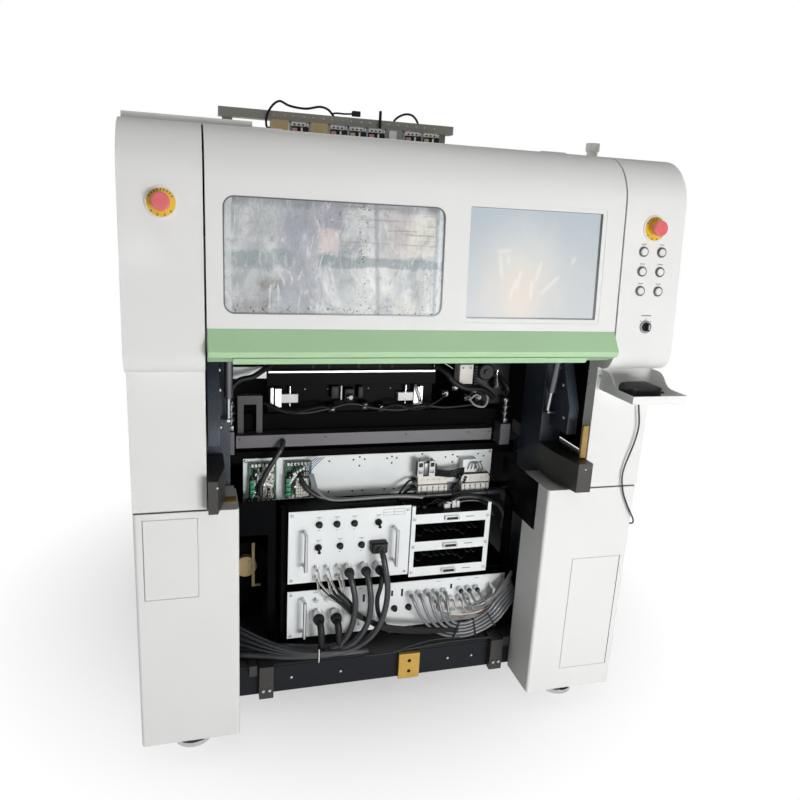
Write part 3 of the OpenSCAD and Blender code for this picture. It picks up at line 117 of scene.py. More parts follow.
class Tree:
    """The nodes of a material or a world; the names of inputs have _ for a space"""

    def __init__(self, owner):
        owner.use_nodes = True
        self.tree = owner.node_tree

    def plug(self, socket, value):
        if isinstance(value, bpy.types.NodeSocket):
            self.tree.links.new(value, socket)
        else:
            socket.default_value = rgb(value) if isinstance(value, str) else value

    def fill(self, node, values):
        for name, value in values.items():
            self.plug(node.inputs[name.replace("_", " ")], value)

    def node(self, kind, **values):
        n = self.tree.nodes.new("ShaderNode" + kind)
        self.fill(n, values)
        return n

    def calc(self, op, a, b=0.0):
        """Sums and products are held between 0 and 1"""
        n = self.node("Math")
        n.operation = op
        n.use_clamp = op in ("MULTIPLY", "ADD")
        self.plug(n.inputs[0], a)
        self.plug(n.inputs[1], b)
        return n.outputs[0]

    def spread(self, fac, low, high):
        return self.node("MapRange", Value=fac, To_Min=low, To_Max=high).outputs["Result"]

    def times(self, a, b):
        return self.calc("MULTIPLY", a, b)

    def plus(self, a, b):
        return self.calc("ADD", a, b)

    def minus(self, a, b):
        return self.calc("SUBTRACT", a, b)

    def over(self, a, b):
        return self.calc("DIVIDE", a, b)


class Finish(Tree):
    """A procedural material in the piece's own coordinates"""

    def __init__(self, name):
        self.mat = bpy.data.materials.new(name)
        super().__init__(self.mat)
        self.bsdf = self.tree.nodes["Principled BSDF"]
        self.where = self.node("TexCoord").outputs["Object"]

    def put(self, **values):
        self.fill(self.bsdf, values)

    def noise(self, scale, detail=3.0, stretch=(1, 1, 1), warp=0.0, rough=0.5):
        place = self.node("Mapping", Vector=self.where, Scale=stretch).outputs["Vector"]
        return self.node("TexNoise", Vector=place, Scale=scale, Detail=detail, Roughness=rough,
                         Distortion=warp).outputs["Fac"]

    def ramp(self, fac, *stops):
        """Stops are places with a hex code, a colour or a grey level"""
        n = self.node("ValToRGB", Fac=fac)
        while len(n.color_ramp.elements) < len(stops):
            n.color_ramp.elements.new(0.5)
        for e, (pos, col) in zip(n.color_ramp.elements, stops):
            e.position = pos
            col = rgb(col) if isinstance(col, str) else col
            e.color = col if isinstance(col, tuple) else (col, col, col, 1)
        return n.outputs["Color"]

    def mix(self, fac, a, b):
        n = self.node("Mix")
        n.data_type = "RGBA"
        for i, value in ((0, fac), (6, a), (7, b)):
            self.plug(n.inputs[i], value)
        return n.outputs[2]

    def axes(self):
        n = self.node("SeparateXYZ", Vector=self.where)
        return n.outputs["X"], n.outputs["Z"]

    def rise(self, value, low, high, start=0.0, end=1.0):
        """A soft step from start to end, between two values"""
        n = self.node("MapRange", Value=value, From_Min=low, From_Max=high, To_Min=start, To_Max=end)
        n.interpolation_type = "SMOOTHSTEP"
        return n.outputs["Result"]

    def band(self, value, low, high, soft, level=1.0):
        """A soft-edged band of one coordinate"""
        return self.times(self.rise(value, low - soft, low + soft, 0, level),
                          self.rise(value, high - soft, high + soft, 1, 0))

    def patch(self, x, z, x0, x1, z0, z1, soft, level=1.0):
        """A soft-edged rectangle of two coordinates"""
        return self.times(self.band(x, x0, x1, soft, level), self.band(z, z0, z1, soft))

    def stroke(self, x, z, a, b, width):
        """A soft stroke from a to b"""
        way = Vector(b) - Vector(a)
        go = way.normalized()
        across = 1 / (go.x or 1e-6)
        dx, dz = self.minus(x, a[0]), self.minus(z, a[1])
        along = self.minus(self.over(dx, across), self.over(dz, -1 / go.y))
        off = self.minus(self.over(dx, 1 / go.y), self.over(dz, across))
        return self.times(self.band(along, 0, way.length, width),
                          self.rise(self.calc("ABSOLUTE", off), 0, width, 1, 0))

    def bump(self, height, depth, strength=0.6):
        n = self.node("Bump", Strength=strength, Distance=depth, Height=height)
        self.put(Normal=n.outputs["Normal"])


def finish(name, code, rough, patch, spread, grain, metal=0.0, depth=0.0001, stretch=(1, 1, 1), coat=0.0,
           shine=0.5):
    """Patches of a colour that differ by spread, and a grain in the roughness and the height"""
    f = Finish(name)
    g = f.noise(grain, 2, stretch)
    f.put(Base_Color=f.ramp(f.noise(patch, 5), (0.3, rgb(code, 1 - spread)), (0.7, rgb(code, 1 + spread / 2))),
          Roughness=f.spread(g, rough * 0.8, min(1.0, rough * 1.2)), Metallic=metal, Specular_IOR_Level=shine,
          Coat_Weight=coat, Coat_Roughness=0.12)
    f.bump(g, depth, 0.5)
    return f.mat


COVER = finish("cover_paint", "ebebe9", 0.52, 2.2, 0.035, 260, depth=0.00012, coat=0.06, shine=0.25)
PANEL = finish("panel_paint", "f3f7f7", 0.42, 6, 0.05, 420)
GREEN = finish("green_paint", "b0d4a9", 0.42, 5, 0.05, 420)
NAVY = finish("navy_paint", "14171d", 0.5, 9, 0.25, 300, depth=0.0003, shine=0.2)
BLACK = finish("black_paint", "08080a", 0.6, 12, 0.3, 500, shine=0.04)
GLOSS = finish("gloss_black", "07080a", 0.36, 12, 0.3, 300, shine=0.03)
BEAM = finish("beam_paint", "625f64", 0.4, 6, 0.1, 600)
TAUPE = finish("taupe_paint", "302e2b", 0.42, 14, 0.14, 500)
DECK = finish("deck_paint", "4c4c4e", 0.5, 9, 0.2, 300, shine=0.25)
STEEL = finish("ground_steel", "c9cacb", 0.3, 20, 0.08, 900, metal=1.0, stretch=(1, 1, 0.05))
ALU = finish("aluminium", "d3d4d5", 0.38, 20, 0.06, 700, metal=1.0, stretch=(0.04, 1, 1))
BRASS = finish("brass", "d0aa5a", 0.36, 30, 0.14, 700, metal=0.85)
DARK_STEEL = finish("dark_steel", "6b6c70", 0.36, 20, 0.12, 700, metal=0.9)
CHROME = finish("chrome", "d8d9da", 0.16, 30, 0.08, 900, metal=1.0)
PLASTIC = finish("black_plastic", "161618", 0.5, 30, 0.15, 1500, depth=0.00006, shine=0.3)
RUBBER = finish("black_rubber", "121213", 0.5, 25, 0.2, 900, shine=0.35)
SHEATH = finish("grey_sheath", "77787c", 0.3, 25, 0.12, 900, coat=0.5)
CABLE = finish("dark_sheath", "35363a", 0.34, 25, 0.15, 900)
GREY_PLASTIC = finish("grey_plastic", "9a9c9e", 0.45, 25, 0.08, 1200)
WHITE_PLASTIC = finish("white_plastic", "e8e8e4", 0.4, 25, 0.05, 1200)
YELLOW = finish("yellow_plastic", "eac02c", 0.4, 30, 0.08, 1200)
RED = finish("red_plastic", "e46c70", 0.35, 40, 0.08, 1200, coat=0.3)
TAN = finish("tan_moulding", "c9b384", 0.46, 25, 0.1, 900)
PINK = finish("pink_moulding", "c79c90", 0.46, 25, 0.1, 900)
CREAM = finish("cream_moulding", "e9e4dc", 0.44, 25, 0.07, 900)
RELAY = finish("relay_green", "2f8f66", 0.4, 40, 0.06, 500)
RAIL = finish("rail_paint", "a3a198", 0.42, 9, 0.1, 500)
PUMP = finish("pump_paint", "c4ab7c", 0.42, 14, 0.12, 700)
MARK = finish("printed_mark", "6d6e70", 0.6, 60, 0.1, 1500)
HOLE = finish("dark_hole", "0c0c0d", 0.7, 60, 0.1, 1500)
WIRE_WHITE = finish("white_wire", "d9d6cd", 0.45, 60, 0.1, 1500)
WIRE_RED = finish("red_wire", "8e4a48", 0.45, 60, 0.1, 1500)
WIRE_BLUE = finish("blue_wire", "3d4f83", 0.45, 60, 0.1, 1500)
# Painted shade: a dark finish for the faces that lie inside the machine, on the inner sides of pale covers and
# boxes
INSIDE = finish("shaded_inside", "141516", 0.6, 14, 0.2, 500, shine=0.2)
GASKET = finish("foam_gasket", "a98b55", 0.8, 40, 0.2, 500, depth=0.0004)


def cast_navy():
    """Dark blue paint on a rough casting, with bright specks"""
    f = Finish("cast_navy")
    paint = f.ramp(f.noise(7, 4), (0.3, "1e242e"), (0.7, "2e3846"))
    specks = f.ramp(f.noise(700, 1), (0.66, 0.0), (0.74, 0.7))
    f.put(Base_Color=f.mix(specks, paint, "66707e"), Roughness=0.45)
    f.bump(f.noise(260, 4), 0.0008, 0.8)
    return f.mat


def circuit_board():
    """Green solder mask with tracks and pads"""
    f = Finish("circuit_board")
    tracks = f.ramp(f.noise(90, 1, (1, 1, 0.12)), (0.5, 0.0), (0.53, 1.0))
    cells = f.node("TexVoronoi", Vector=f.where, Scale=190).outputs["Distance"]
    pads = f.ramp(cells, (0.16, 1.0), (0.22, 0.0))
    f.put(Base_Color=f.mix(pads, f.mix(tracks, "174a35", "2b6d4e"), "b5b6a4"), Roughness=0.38)
    f.bump(tracks, 0.0001)
    return f.mat


def window_pane():
    """Scratched pane: painted reflections of the room as a grey and white mottle, coloured patches and a slanted
    bar, painted shade in its top corners, painted highlights along its sides, a painted sheen along wiping marks,
    dark smudges, scratches and dark specks
    """
    f = Finish("window_pane")
    x, z = f.axes()
    # Painted reflections of the room: a grey and white mottle, then coloured patches over it
    marks = f.noise(10, 9, (1, 1, 0.6), 1.6, 0.68)
    color = f.ramp(marks, (0.30, "8f959a"), (0.46, "bbbfc1"), (0.58, "d5d6d6"), (0.72, "f0f0f0"))
    xs = f.minus(x, f.spread(f.noise(24, 8, (1, 1, 0.5), 0.8, 0.7), -0.035, 0.035))
    zs = f.minus(z, f.spread(f.noise(20, 8, (0.5, 1, 1), 0.8, 0.7), -0.022, 0.022))
    for *area, code in (
            (-0.306, -0.186, 1.240, 1.320, 0.010, 0.65, "9a9ca9"),
            (-0.312, -0.234, 1.050, 1.250, 0.012, 0.60, "9fa2ae"),
            (-0.195, -0.180, 1.185, 1.260, 0.004, 0.50, "9a9ca9"),
            (-0.234, -0.195, 1.199, 1.244, 0.006, 0.65, "dccbc8"),
            (-0.440, -0.285, 1.162, 1.196, 0.005, 0.65, "8f9b9f"),
            (-0.236, 0.040, 1.168, 1.189, 0.003, 0.70, "87949a"),
            (-0.100, -0.030, 1.192, 1.286, 0.012, 0.55, "cfc4c2"),
            (-0.040, 0.012, 1.195, 1.274, 0.010, 0.70, "e6e1d4"),
            (-0.440, 0.040, 1.284, 1.320, 0.008, 0.60, "8b8e92"),
            (-0.350, -0.302, 1.116, 1.142, 0.010, 0.60, "77716b"),
            (-0.405, -0.330, 1.078, 1.094, 0.008, 0.50, "968d88"),
            (-0.085, -0.020, 1.080, 1.110, 0.012, 0.40, "d8d7c6")):
        color = f.mix(f.patch(xs, zs, *area), color, code)
    # A slanted darker bar: a painted reflection
    bar = f.minus(x, f.times(f.minus(1.3, z), 0.045))
    color = f.mix(f.band(bar, -0.123, -0.114, 0.003, 0.6), color, "8b9296")
    # Darker towards the top corners: painted shade
    for edge in (f.minus(1.329, xs), f.minus(xs, -1.719)):
        color = f.mix(f.rise(f.minus(z, edge), -0.06, -0.02, 0, 0.7), color, "6f7376")
    # Painted highlights along the left and right inner edges, with a darker line beside the right one
    for low, high, level, code in ((0.018, 0.025, 0.8, "e3e9eb"), (0.011, 0.014, 0.6, "8a959a"),
                                   (-0.417, -0.405, 0.5, "e4e7e8")):
        color = f.mix(f.band(x, low, high, 0.002, level), color, code)
    lines = f.ramp(f.noise(150, 4, (0.06, 1, 1), 0, 0.7), (0.54, 0.0), (0.66, 0.6))
    color = f.mix(f.times(lines, f.patch(xs, z, -0.185, 0.015, 1.185, 1.30, 0.01)), color, "8b8a87")
    # A painted sheen along the wiping marks, then dark smudges over it
    wipe_sheen = f.ramp(f.noise(48, 9, (1, 1, 0.3), 1.8, 0.72), (0.53, 0.0), (0.70, 0.8))
    smeared = f.ramp(f.noise(36, 9, (1, 1, 0.6), 2.2, 0.74), (0.54, 0.0), (0.70, 0.65))
    color = f.mix(smeared, f.mix(wipe_sheen, color, "f0f1f1"), "84888a")
    where = f.plus(f.plus(f.band(z, 1.06, 1.090, 0.012), f.band(x, -0.152, -0.132, 0.006)),
                   f.rise(f.noise(5, 2), 0.5, 0.62, 0.1, 0.6))
    specks = f.ramp(f.noise(150, 5, (1, 1, 0.8), 1.5), (0.58, 0.0), (0.66, 1.0))
    color = f.mix(f.times(specks, where), color, "45433e")
    f.put(Base_Color=color, Roughness=f.spread(marks, 0.15, 0.5), Coat_Weight=0.15, Coat_Roughness=0.08)
    f.bump(f.noise(38, 4), 0.0002, 0.25)
    return f.mat


def screen_face(mid):
    """Pale screen, bluish above, with painted reflections of a lamp: a pale glow in its middle and a warm glow
    below; and wiping strokes
    """
    f = Finish("screen_face")
    x, z = f.axes()

    # A painted reflection of a lamp: a soft glow round a point, with a ragged edge
    def around(u, v, size, level):
        dx, dz = f.minus(x, mid.x + u), f.minus(z, mid.z + v)
        far = f.calc("SQRT", f.plus(f.times(dx, dx), f.times(dz, dz)))
        glow_ragged_edge = f.spread(f.noise(26, 6, (1, 1, 0.5), 0.6), 0, 0.06)
        return f.rise(f.plus(far, glow_ragged_edge), 0.02, size, level, 0)

    soft = f.minus(z, f.spread(f.noise(7, 4), -0.08, 0.08))
    height = f.rise(soft, mid.z - 0.13, mid.z + 0.13)
    color = f.ramp(height, (0.0, "d0d3d6"), (0.5, "ccd1d3"), (1.0, "bec8d0"))
    # The pale glow in the middle and the warm glow below: painted reflections of a lamp
    color = f.mix(around(-0.025, 0.000, 0.18, 0.9), color, "e2e3df")
    color = f.mix(around(-0.030, -0.070, 0.15, 0.9), color, "ebe0d7")
    for u0, v0, u1, v1 in (
            (-84, 21, -77, -28), (15, 9, 4, -32), (59, -22, 18, -60), (-43, -30, -56, -71), (-5, -34, -6, -71),
            (-90, 27, -58, 30), (-33, -11, -41, -53), (97, 21, 89, 7), (-66, 20, -62, 2)):
        ends = [(mid.x + u / 1000, mid.z + v / 1000) for u, v in ((u0, v0), (u1, v1))]
        color = f.mix(f.times(f.stroke(x, z, *ends, 0.007), 0.45), color, "f6f4f0")
    f.put(Base_Color=color, Roughness=0.3, Specular_IOR_Level=0.3)
    f.bump(f.noise(500, 2), 0.00004)
    return f.mat


CAST = cast_navy()
PCB = circuit_board()
PANE = window_pane()
SCREEN_MID = face(SCREEN_X, SCREEN_Z, -14)
SCREEN = screen_face(SCREEN_MID)


# CAD nodes: finishes by the place and the normal of each face
def paint(node, mats, pick=None):
    o = NODES[node]
    o.data.materials.clear()
    for m in mats:
        o.data.materials.append(m)
    for p in o.data.polygons:
        c = p.center
        p.use_smooth = True
        p.material_index = int(pick(c.x * 1000, (c.y - MID_Y) * 1000, c.z * 1000, p.normal)) if pick else 0
    o.modifiers.new("weld", "WELD").merge_threshold = 1e-5
    return o


def dress(node, mats, edge, pick=None, angle=30):
    """A finish, and a small round on every edge"""
    o = paint(node, mats, pick)
    flat = o.modifiers.new("flat", "DECIMATE")
    flat.decimate_type = "DISSOLVE"
    flat.angle_limit = math.radians(0.4)
    flat.delimit = {"MATERIAL"}
    bevel = o.modifiers.new("edge", "BEVEL")
    bevel.width = edge / 1000
    bevel.segments = 3 if edge > 1.5 else 2
    bevel.limit_method = "ANGLE"
    bevel.angle_limit = math.radians(angle)
    bevel.miter_outer = "MITER_ARC"
    o.modifiers.new("shade", "WEIGHTED_NORMAL").weight = 90


def round_off(node, mats, pick):
    """Cables: the CAD's facets made round"""
    sub = paint(node, mats, pick).modifiers.new("round", "SUBSURF")
    sub.levels = sub.render_levels = 2


def screen_pick(x, y, z, n):
    depth = (at(x, y, z) - SCREEN_MID).dot(OUT) * 1000
    return n.dot(OUT) > 0.9 and abs(depth) < 1


def rail_pick(x, y, z, n):
    if z > 1512.9 or not -262 < x < 230 or (y > -175 and z > 1500):
        return 0
    i = int((x + 265) // 55)
    return (1, 4, 1, 4, 4, 4, 2, 4, 4)[i] if z < 1487 else (1, 3, 1, 3, 3, 3, 3, 3, 3)[i]


def bank_pick(x, y, z, n):
    if x < -308:
        return 3
    if 869.1 < z < 875.1 and (y < -558 or n.z > 0.5):
        return 1
    if 778 < z < 830 and y < -544.1:
        return 2 if -263 < x < 93 else 1
    return 0


def fitting_pick(x, y, z, n):
    if any(math.hypot(x - a, z - b) < 12 for a, b in FUSES + TOGGLES + SPARE_CAPS):
        return 0
    return not (abs(x + 21) < 24 and abs(z - 433.1) < 17)


def inner_shade_pick(x, y, z, n):
    """1 on a cover's inner side, for painted shade: the inside of the machine lies in shade"""
    if y * n.y < -0.7 * abs(y) or (z > 1350 and n.z < -0.7):
        return 1
    return abs(x) > 560 and x * n.x < -0.7 * abs(x)


def lower_pick(x, y, z, n):
    """1, for painted shade, on a lower cover's inner side and on the rim of its outer wall"""
    return 1 if n.z > 0.7 and abs(x) > 598 else inner_shade_pick(x, y, z, n)


def board_pick(x, y, z, n):
    if y > -588.5:
        return 0
    return 1 if any(x0 + 47 < x < x0 + 63 for x0 in BOARDS_X) else 2


# Cover and panel paint, with painted shade on the faces that lie inside the machine
COVER_AND_SHADE = [COVER, INSIDE]
PANEL_AND_SHADE = [PANEL, INSIDE]
for names, mats, edge, *pick in (
        ("left_lower_cover right_lower_cover", COVER_AND_SHADE, 1.2, lower_pick),
        ("access_panels", [COVER], 1.2),
        ("side_panels rear_covers roof_panel", COVER_AND_SHADE, 1.2, inner_shade_pick),
        ("left_upper_cover right_upper_cover front_hood rear_hood", COVER_AND_SHADE, 1.4, inner_shade_pick),
        ("mouse_tray", [COVER], 0.8),
        ("green_strip", [GREEN], 2.0),
        ("hood_window", [PANE], 0.8),
        ("monitor", [GREY_PLASTIC, SCREEN], 0.6, screen_pick),
        ("board_panel", [PANEL], 0.6),
        # The sides and backs of the boxes and the insides of the card slots get painted shade
        ("control_box io_box", PANEL_AND_SHADE, 0.6, lambda x, y, z, n: y > -686.5),
        ("card_rack", PANEL_AND_SHADE, 0.6, lambda x, y, z, n: y > -688 and (69 < x < 292 or n.z > 0.5) and z < 534),
        ("head_carriage", [COVER], 2.0),
        ("base_frame", [NAVY, DECK], 2.0, lambda x, y, z, n: n.z > 0.9 and y > -698 and z > 130),
        ("side_frames", [CAST], 2.0),
        ("cover_frame machine_bed rack_frame", [BLACK], 1.0),
        ("dock_guides", [TAUPE, BRASS], 1.2, lambda x, y, z, n: 30 < x < 100 and z < 150),
        ("feeder_bank", [GLOSS, ALU, WHITE_PLASTIC, TAUPE], 1.0, bank_pick),
        ("deck_beam", [BEAM], 1.5),
        ("x_beam", [BEAM], 2.0),
        ("levelling_feet hinge_pins strut_rods y_rails", [STEEL], 0.6),
        ("fixed_conveyor moving_conveyor rack_handles rotary_head", [STEEL], 0.6),
        ("strut_tubes", [DARK_STEEL], 0.6),
        ("rack_fittings", [PLASTIC, STEEL], 0.5, fitting_pick),
        ("selector_knob toggle_1 toggle_2 cord_gland", [PLASTIC], 0.5),
        ("switch_bezels", [YELLOW, DARK_STEEL, GREY_PLASTIC], 0.4,
         lambda x, y, z, n: 0 if z > 1245 else 1 if z > 1100 else 2),
        ("left_estop right_estop", [RED], 1.0),
        ("button_1 button_2 button_3 button_4 button_5 button_6 beacon_base", [WHITE_PLASTIC], 1.0),
        ("circuit_boards", [PCB, CREAM, PLASTIC], 0.3, board_pick),
        ("valve_blocks", [CREAM, PANEL], 1.0, lambda x, y, z, n: x > 231 and z > 588),
        ("top_rail", [RAIL, TAN, WHITE_PLASTIC, GREY_PLASTIC, PLASTIC], 0.8, rail_pick),
        ("vacuum_pump", [BLACK, PUMP], 2.0, lambda x, y, z, n: y < -521)):
    for name in names.split():
        dress(name, mats, edge, *pick)
dress("mouse", [PLASTIC], 2.0, angle=40)
round_off("bay_cables", [CABLE, SHEATH], lambda x, y, z, n: x > 60 and z < 300)
round_off("rail_leads", [RUBBER, WHITE_PLASTIC], lambda x, y, z, n: 4.5 < x < 64.5 and z < 1538)


# Detail pieces
def rounded(w, h, r, n=6):
    pts = []
    for cx, cy, a0 in ((w / 2 - r, h / 2 - r, 0), (r - w / 2, h / 2 - r, 90),
                       (r - w / 2, r - h / 2, 180), (w / 2 - r, r - h / 2, 270)):
        for i in range(n + 1):
            a = math.radians(a0 + 90 * i / n)
            pts.append((cx + r * math.cos(a), cy + r * math.sin(a)))
    return pts


def smooth(pts, k=5):
    """Points along a soft curve through pts"""
    pts = [Vector(p) for p in pts]
    out = []
    for i in range(len(pts) - 1):
        a, b, c, d = pts[max(i - 1, 0)], pts[i], pts[i + 1], pts[min(i + 2, len(pts) - 1)]
        for j in range(k):
            t = j / k
            out.append(0.5 * (2 * b + (c - a) * t + (2 * a - 5 * b + 4 * c - d) * t * t
                              + (3 * b - a - 3 * c + d) * t ** 3))
    return out + [pts[-1]]


class Kit:
    """Small solids gathered into one piece; sizes and places in the CAD's millimetres"""
    made = []

    def __init__(self, name, mat, slot, body="frame"):
        self.bm = bmesh.new()
        self.name, self.mat, self.slot, self.body = name, mat, slot, body
        Kit.made.append(self)

    def box(self, x, y, z, r=0.8, turn=None):
        size = Vector((x[1] - x[0], y[1] - y[0], z[1] - z[0]))
        mid = at((x[0] + x[1]) / 2, (y[0] + y[1]) / 2, (z[0] + z[1]) / 2)
        m = Matrix.Translation(mid) @ (turn.to_4x4() if turn else Matrix.Identity(4))
        geo = bmesh.ops.create_cube(self.bm, size=1, matrix=m @ Matrix.Diagonal((*(size / 1000), 1)))
        edges = list({e for v in geo["verts"] for e in v.link_edges})
        bmesh.ops.bevel(self.bm, geom=edges, offset=min(r, 0.3 * min(size)) / 1000, segments=2, profile=0.5,
                        affect="EDGES", clamp_overlap=True)

    def turned(self, p, axis, profile, n=24):
        """A turned solid: profile is (radius, height) from p along axis"""
        q = SKY.rotation_difference(axis).to_matrix()
        rings = []
        for r, h in profile:
            around = [TURN * i / n for i in range(n if r else 1)]
            rings.append([self.bm.verts.new(p + q @ Vector((r * math.cos(a), r * math.sin(a), h)) / 1000)
                          for a in around])
        for a, b in zip(rings, rings[1:]):
            for i in range(n):
                j = (i + 1) % n
                loop = [a[i % len(a)], a[j % len(a)], b[j % len(b)], b[i % len(b)]]
                loop = [v for k, v in enumerate(loop) if v is not loop[k - 1]]
                if len(loop) > 2:
                    self.bm.faces.new(loop)

    def rod(self, p, axis, r, h, c=0.5, n=20):
        c = min(c, r / 2, h / 2)
        self.turned(p, axis, [(0, 0), (r, 0), (r, h - c), (r - c, h), (0, h)], n)

    def screw(self, x, y, z, r, axis=FRONT):
        self.turned(at(x, y, z), axis, [(r, -0.1), (r, 0.35 * r), (0.75 * r, 0.6 * r), (0.45 * r, 0.66 * r),
                                        (0.4 * r, 0.3 * r), (0, 0.3 * r)], 12)

    def wall(self, a, b):
        """Faces between two closed rows of points"""
        for i in range(len(a)):
            j = (i + 1) % len(a)
            self.bm.faces.new((a[i], a[j], b[j], b[i]))

    def caps(self, rows):
        self.bm.faces.new(rows[0][::-1])
        self.bm.faces.new(rows[-1])

    def tube(self, pts, r, n=8, k=5):
        """A round cable along pts"""
        c = smooth([at(*p) for p in pts], k)
        way = [(c[min(i + 1, len(c) - 1)] - c[max(i - 1, 0)]).normalized() for i in range(len(c))]
        side = way[0].orthogonal().normalized()
        rings = []
        for p, t in zip(c, way):
            side = (side - t * side.dot(t)).normalized()
            up = t.cross(side)
            rings.append([self.bm.verts.new(p + (side * math.cos(TURN * i / n) + up * math.sin(TURN * i / n))
                                            * r / 1000) for i in range(n)])
        for a, b in zip(rings, rings[1:]):
            self.wall(a, b)
        self.caps(rings)
        return c

    def row(self, mid, x, y, outline, h):
        z = x.cross(y)
        return [self.bm.verts.new(mid + (x * u + y * v + z * h) / 1000) for u, v in outline]

    def ring(self, mid, outer, inner, low, high, x=RIGHT, y=UP):
        """A flat ring between two outlines in the plane of x and y"""
        rows = [self.row(mid, x, y, line, h)
                for line, h in ((outer, low), (outer, high), (inner, high), (inner, low))]
        for a, b in zip(rows, rows[1:] + rows[:1]):
            self.wall(a, b)

    def slab(self, mid, outline, low, high, x=RIGHT, y=UP):
        """A plate of one outline in the plane of x and y"""
        rows = [self.row(mid, x, y, outline, h) for h in (low, high)]
        self.wall(*rows)
        self.caps(rows)

    def done(self):
        bmesh.ops.recalc_face_normals(self.bm, faces=self.bm.faces)
        for f in self.bm.faces:
            f.smooth = True
        me = bpy.data.meshes.new(self.name)
        self.bm.to_mesh(me)
        self.bm.free()
        me.set_sharp_from_angle(angle=math.radians(35))
        me.materials.append(self.mat)
        o = bpy.data.objects.new(self.name, me)
        show(o)
        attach(o, self.body)
        return o


# The mouse's cord: over the tray, through its hole, down the column and round its edge
CORD_D = 0.004
CORD = [
    (578.3, -944, 904), (588, -944, 903), (597, -939, 900), (600, -928, 897.5), (597, -914, 896.5),
    (590, -902, 896.5), (582, -893, 896), (576, -887, 891), (573, -884, 880), (573, -882, 865),
    (578, -881, 840), (584, -880, 812), (586, -878, 790), (582, -877, 760), (572, -877, 725),
    (563, -877, 695), (560, -876, 668), (564, -876, 640), (573, -876, 612), (586, -877, 585),
    (600, -876, 562), (611, -874, 545), (618, -866, 531), (618, -856, 524), (617, -846, 521),
    (616, -836.2, 520)]
line = Kit("mouse_cord_sheath", RUBBER, "cable_black").tube(CORD, 1000 * CORD_D / 2, 12, 6)


def hood_trim():
    window, screen = face(WINDOW_X, WINDOW_Z), face(SCREEN_X, SCREEN_Z)
    kit = Kit("window_gasket", DARK_STEEL, "black_plastic", "front_hood")
    kit.ring(window, rounded(451.6, 225.6, 21.8), rounded(446.6, 220.6, 19.3), -2.8, -0.6)
    kit = Kit("screen_bezel", COVER, "cover_white", "front_hood")
    kit.ring(screen, rounded(331.6, 252.6, 5.8), rounded(313, 234, 2.5), -2.9, -0.8)
    kit = Kit("screen_glass", SCREEN, "screen_grey", "front_hood")
    kit.slab(screen, rounded(312.8, 233.8, 2.4), -5.2, -3.6)
    kit = Kit("screen_seam_and_shade", DARK_STEEL, "black_plastic", "front_hood")
    kit.ring(screen, rounded(312.9, 233.9, 2.4), rounded(310.9, 231.9, 1.4), -3.7, -2.9)
    # Dark strips inside the right and bottom edges of the screen: painted shade of the recess walls there
    kit.slab(screen + RIGHT * 0.1536, rounded(4, 232, 0.5), -3.7, -3.0)
    kit.slab(screen - UP * 0.1152, rounded(311, 2.2, 0.5), -3.7, -3.0)


def controls():
    """Plain marks in place of the printed legends, rims of the stops, line of the selector, mouse parts"""
    marks = Kit("legend_marks", MARK, "frame_black")
    rims = Kit("stop_rims", WHITE_PLASTIC, "button_white")
    for s in (-1, 1):
        for a0, a1, n in ((150, 30, 9), (222, 318, 4)):
            for i in range(n):
                a = math.radians(a0 + (a1 - a0) * i / (n - 1))
                out = RIGHT * math.cos(a) + UP * math.sin(a)
                marks.slab(face(s * KEYS_X, STOP_Z, 2.2) + out * 0.0235, rounded(2.6, 4.6, 0.5, 1), -0.1, 0.15,
                           RIGHT * math.sin(a) - UP * math.cos(a), out)
        rims.turned(face(s * KEYS_X, STOP_Z), OUT,
                    [(26.4, 2.1), (26.6, 2.6), (29.4, 2.6), (30.2, 1.6), (30.2, 0.1), (29.05, 0.1), (29.05, 2.1),
                     (26.4, 2.1)], 48)
    for x in (509, 556):
        for z in (1225, 1181, 1137):
            marks.slab(face(x, z + 17), rounded(13, 1.6, 0.4, 1), -0.1, 0.12)
    marks.slab(face(KEYS_X, SELECTOR_Z + 26), rounded(26, 2.2, 0.4, 1), -0.1, 0.12)
    for a in (45, 90, 135):
        d = RIGHT * math.cos(math.radians(a)) + UP * math.sin(math.radians(a))
        marks.slab(face(KEYS_X, SELECTOR_Z) + d * 0.0185, rounded(2.4, 2.4, 0.6, 1), -0.1, 0.12)
    kit = Kit("selector_line", WHITE_PLASTIC, "button_white", "selector_knob")
    kit.slab(face(KEYS_X, SELECTOR_Z, 16.1), rounded(1.6, 12, 0.5, 2), -0.1, 0.25)
    kit = Kit("mouse_wheel", GREY_PLASTIC, "black_plastic")
    kit.turned(at(552, -948, 919), -FRONT, [(0, 0), (7, 0), (8.2, 1.5), (8.2, 6.5), (7, 8), (0, 8)], 28)
    kit = Kit("mouse_boot", RUBBER, "cable_black")
    kit.turned(at(577.6, -944, 904), RIGHT,
               [(4, 0), (4, 2), (3.2, 2.5), (3.4, 4), (2.8, 4.5), (2.8, 7), (2.1, 7.4)], 16)


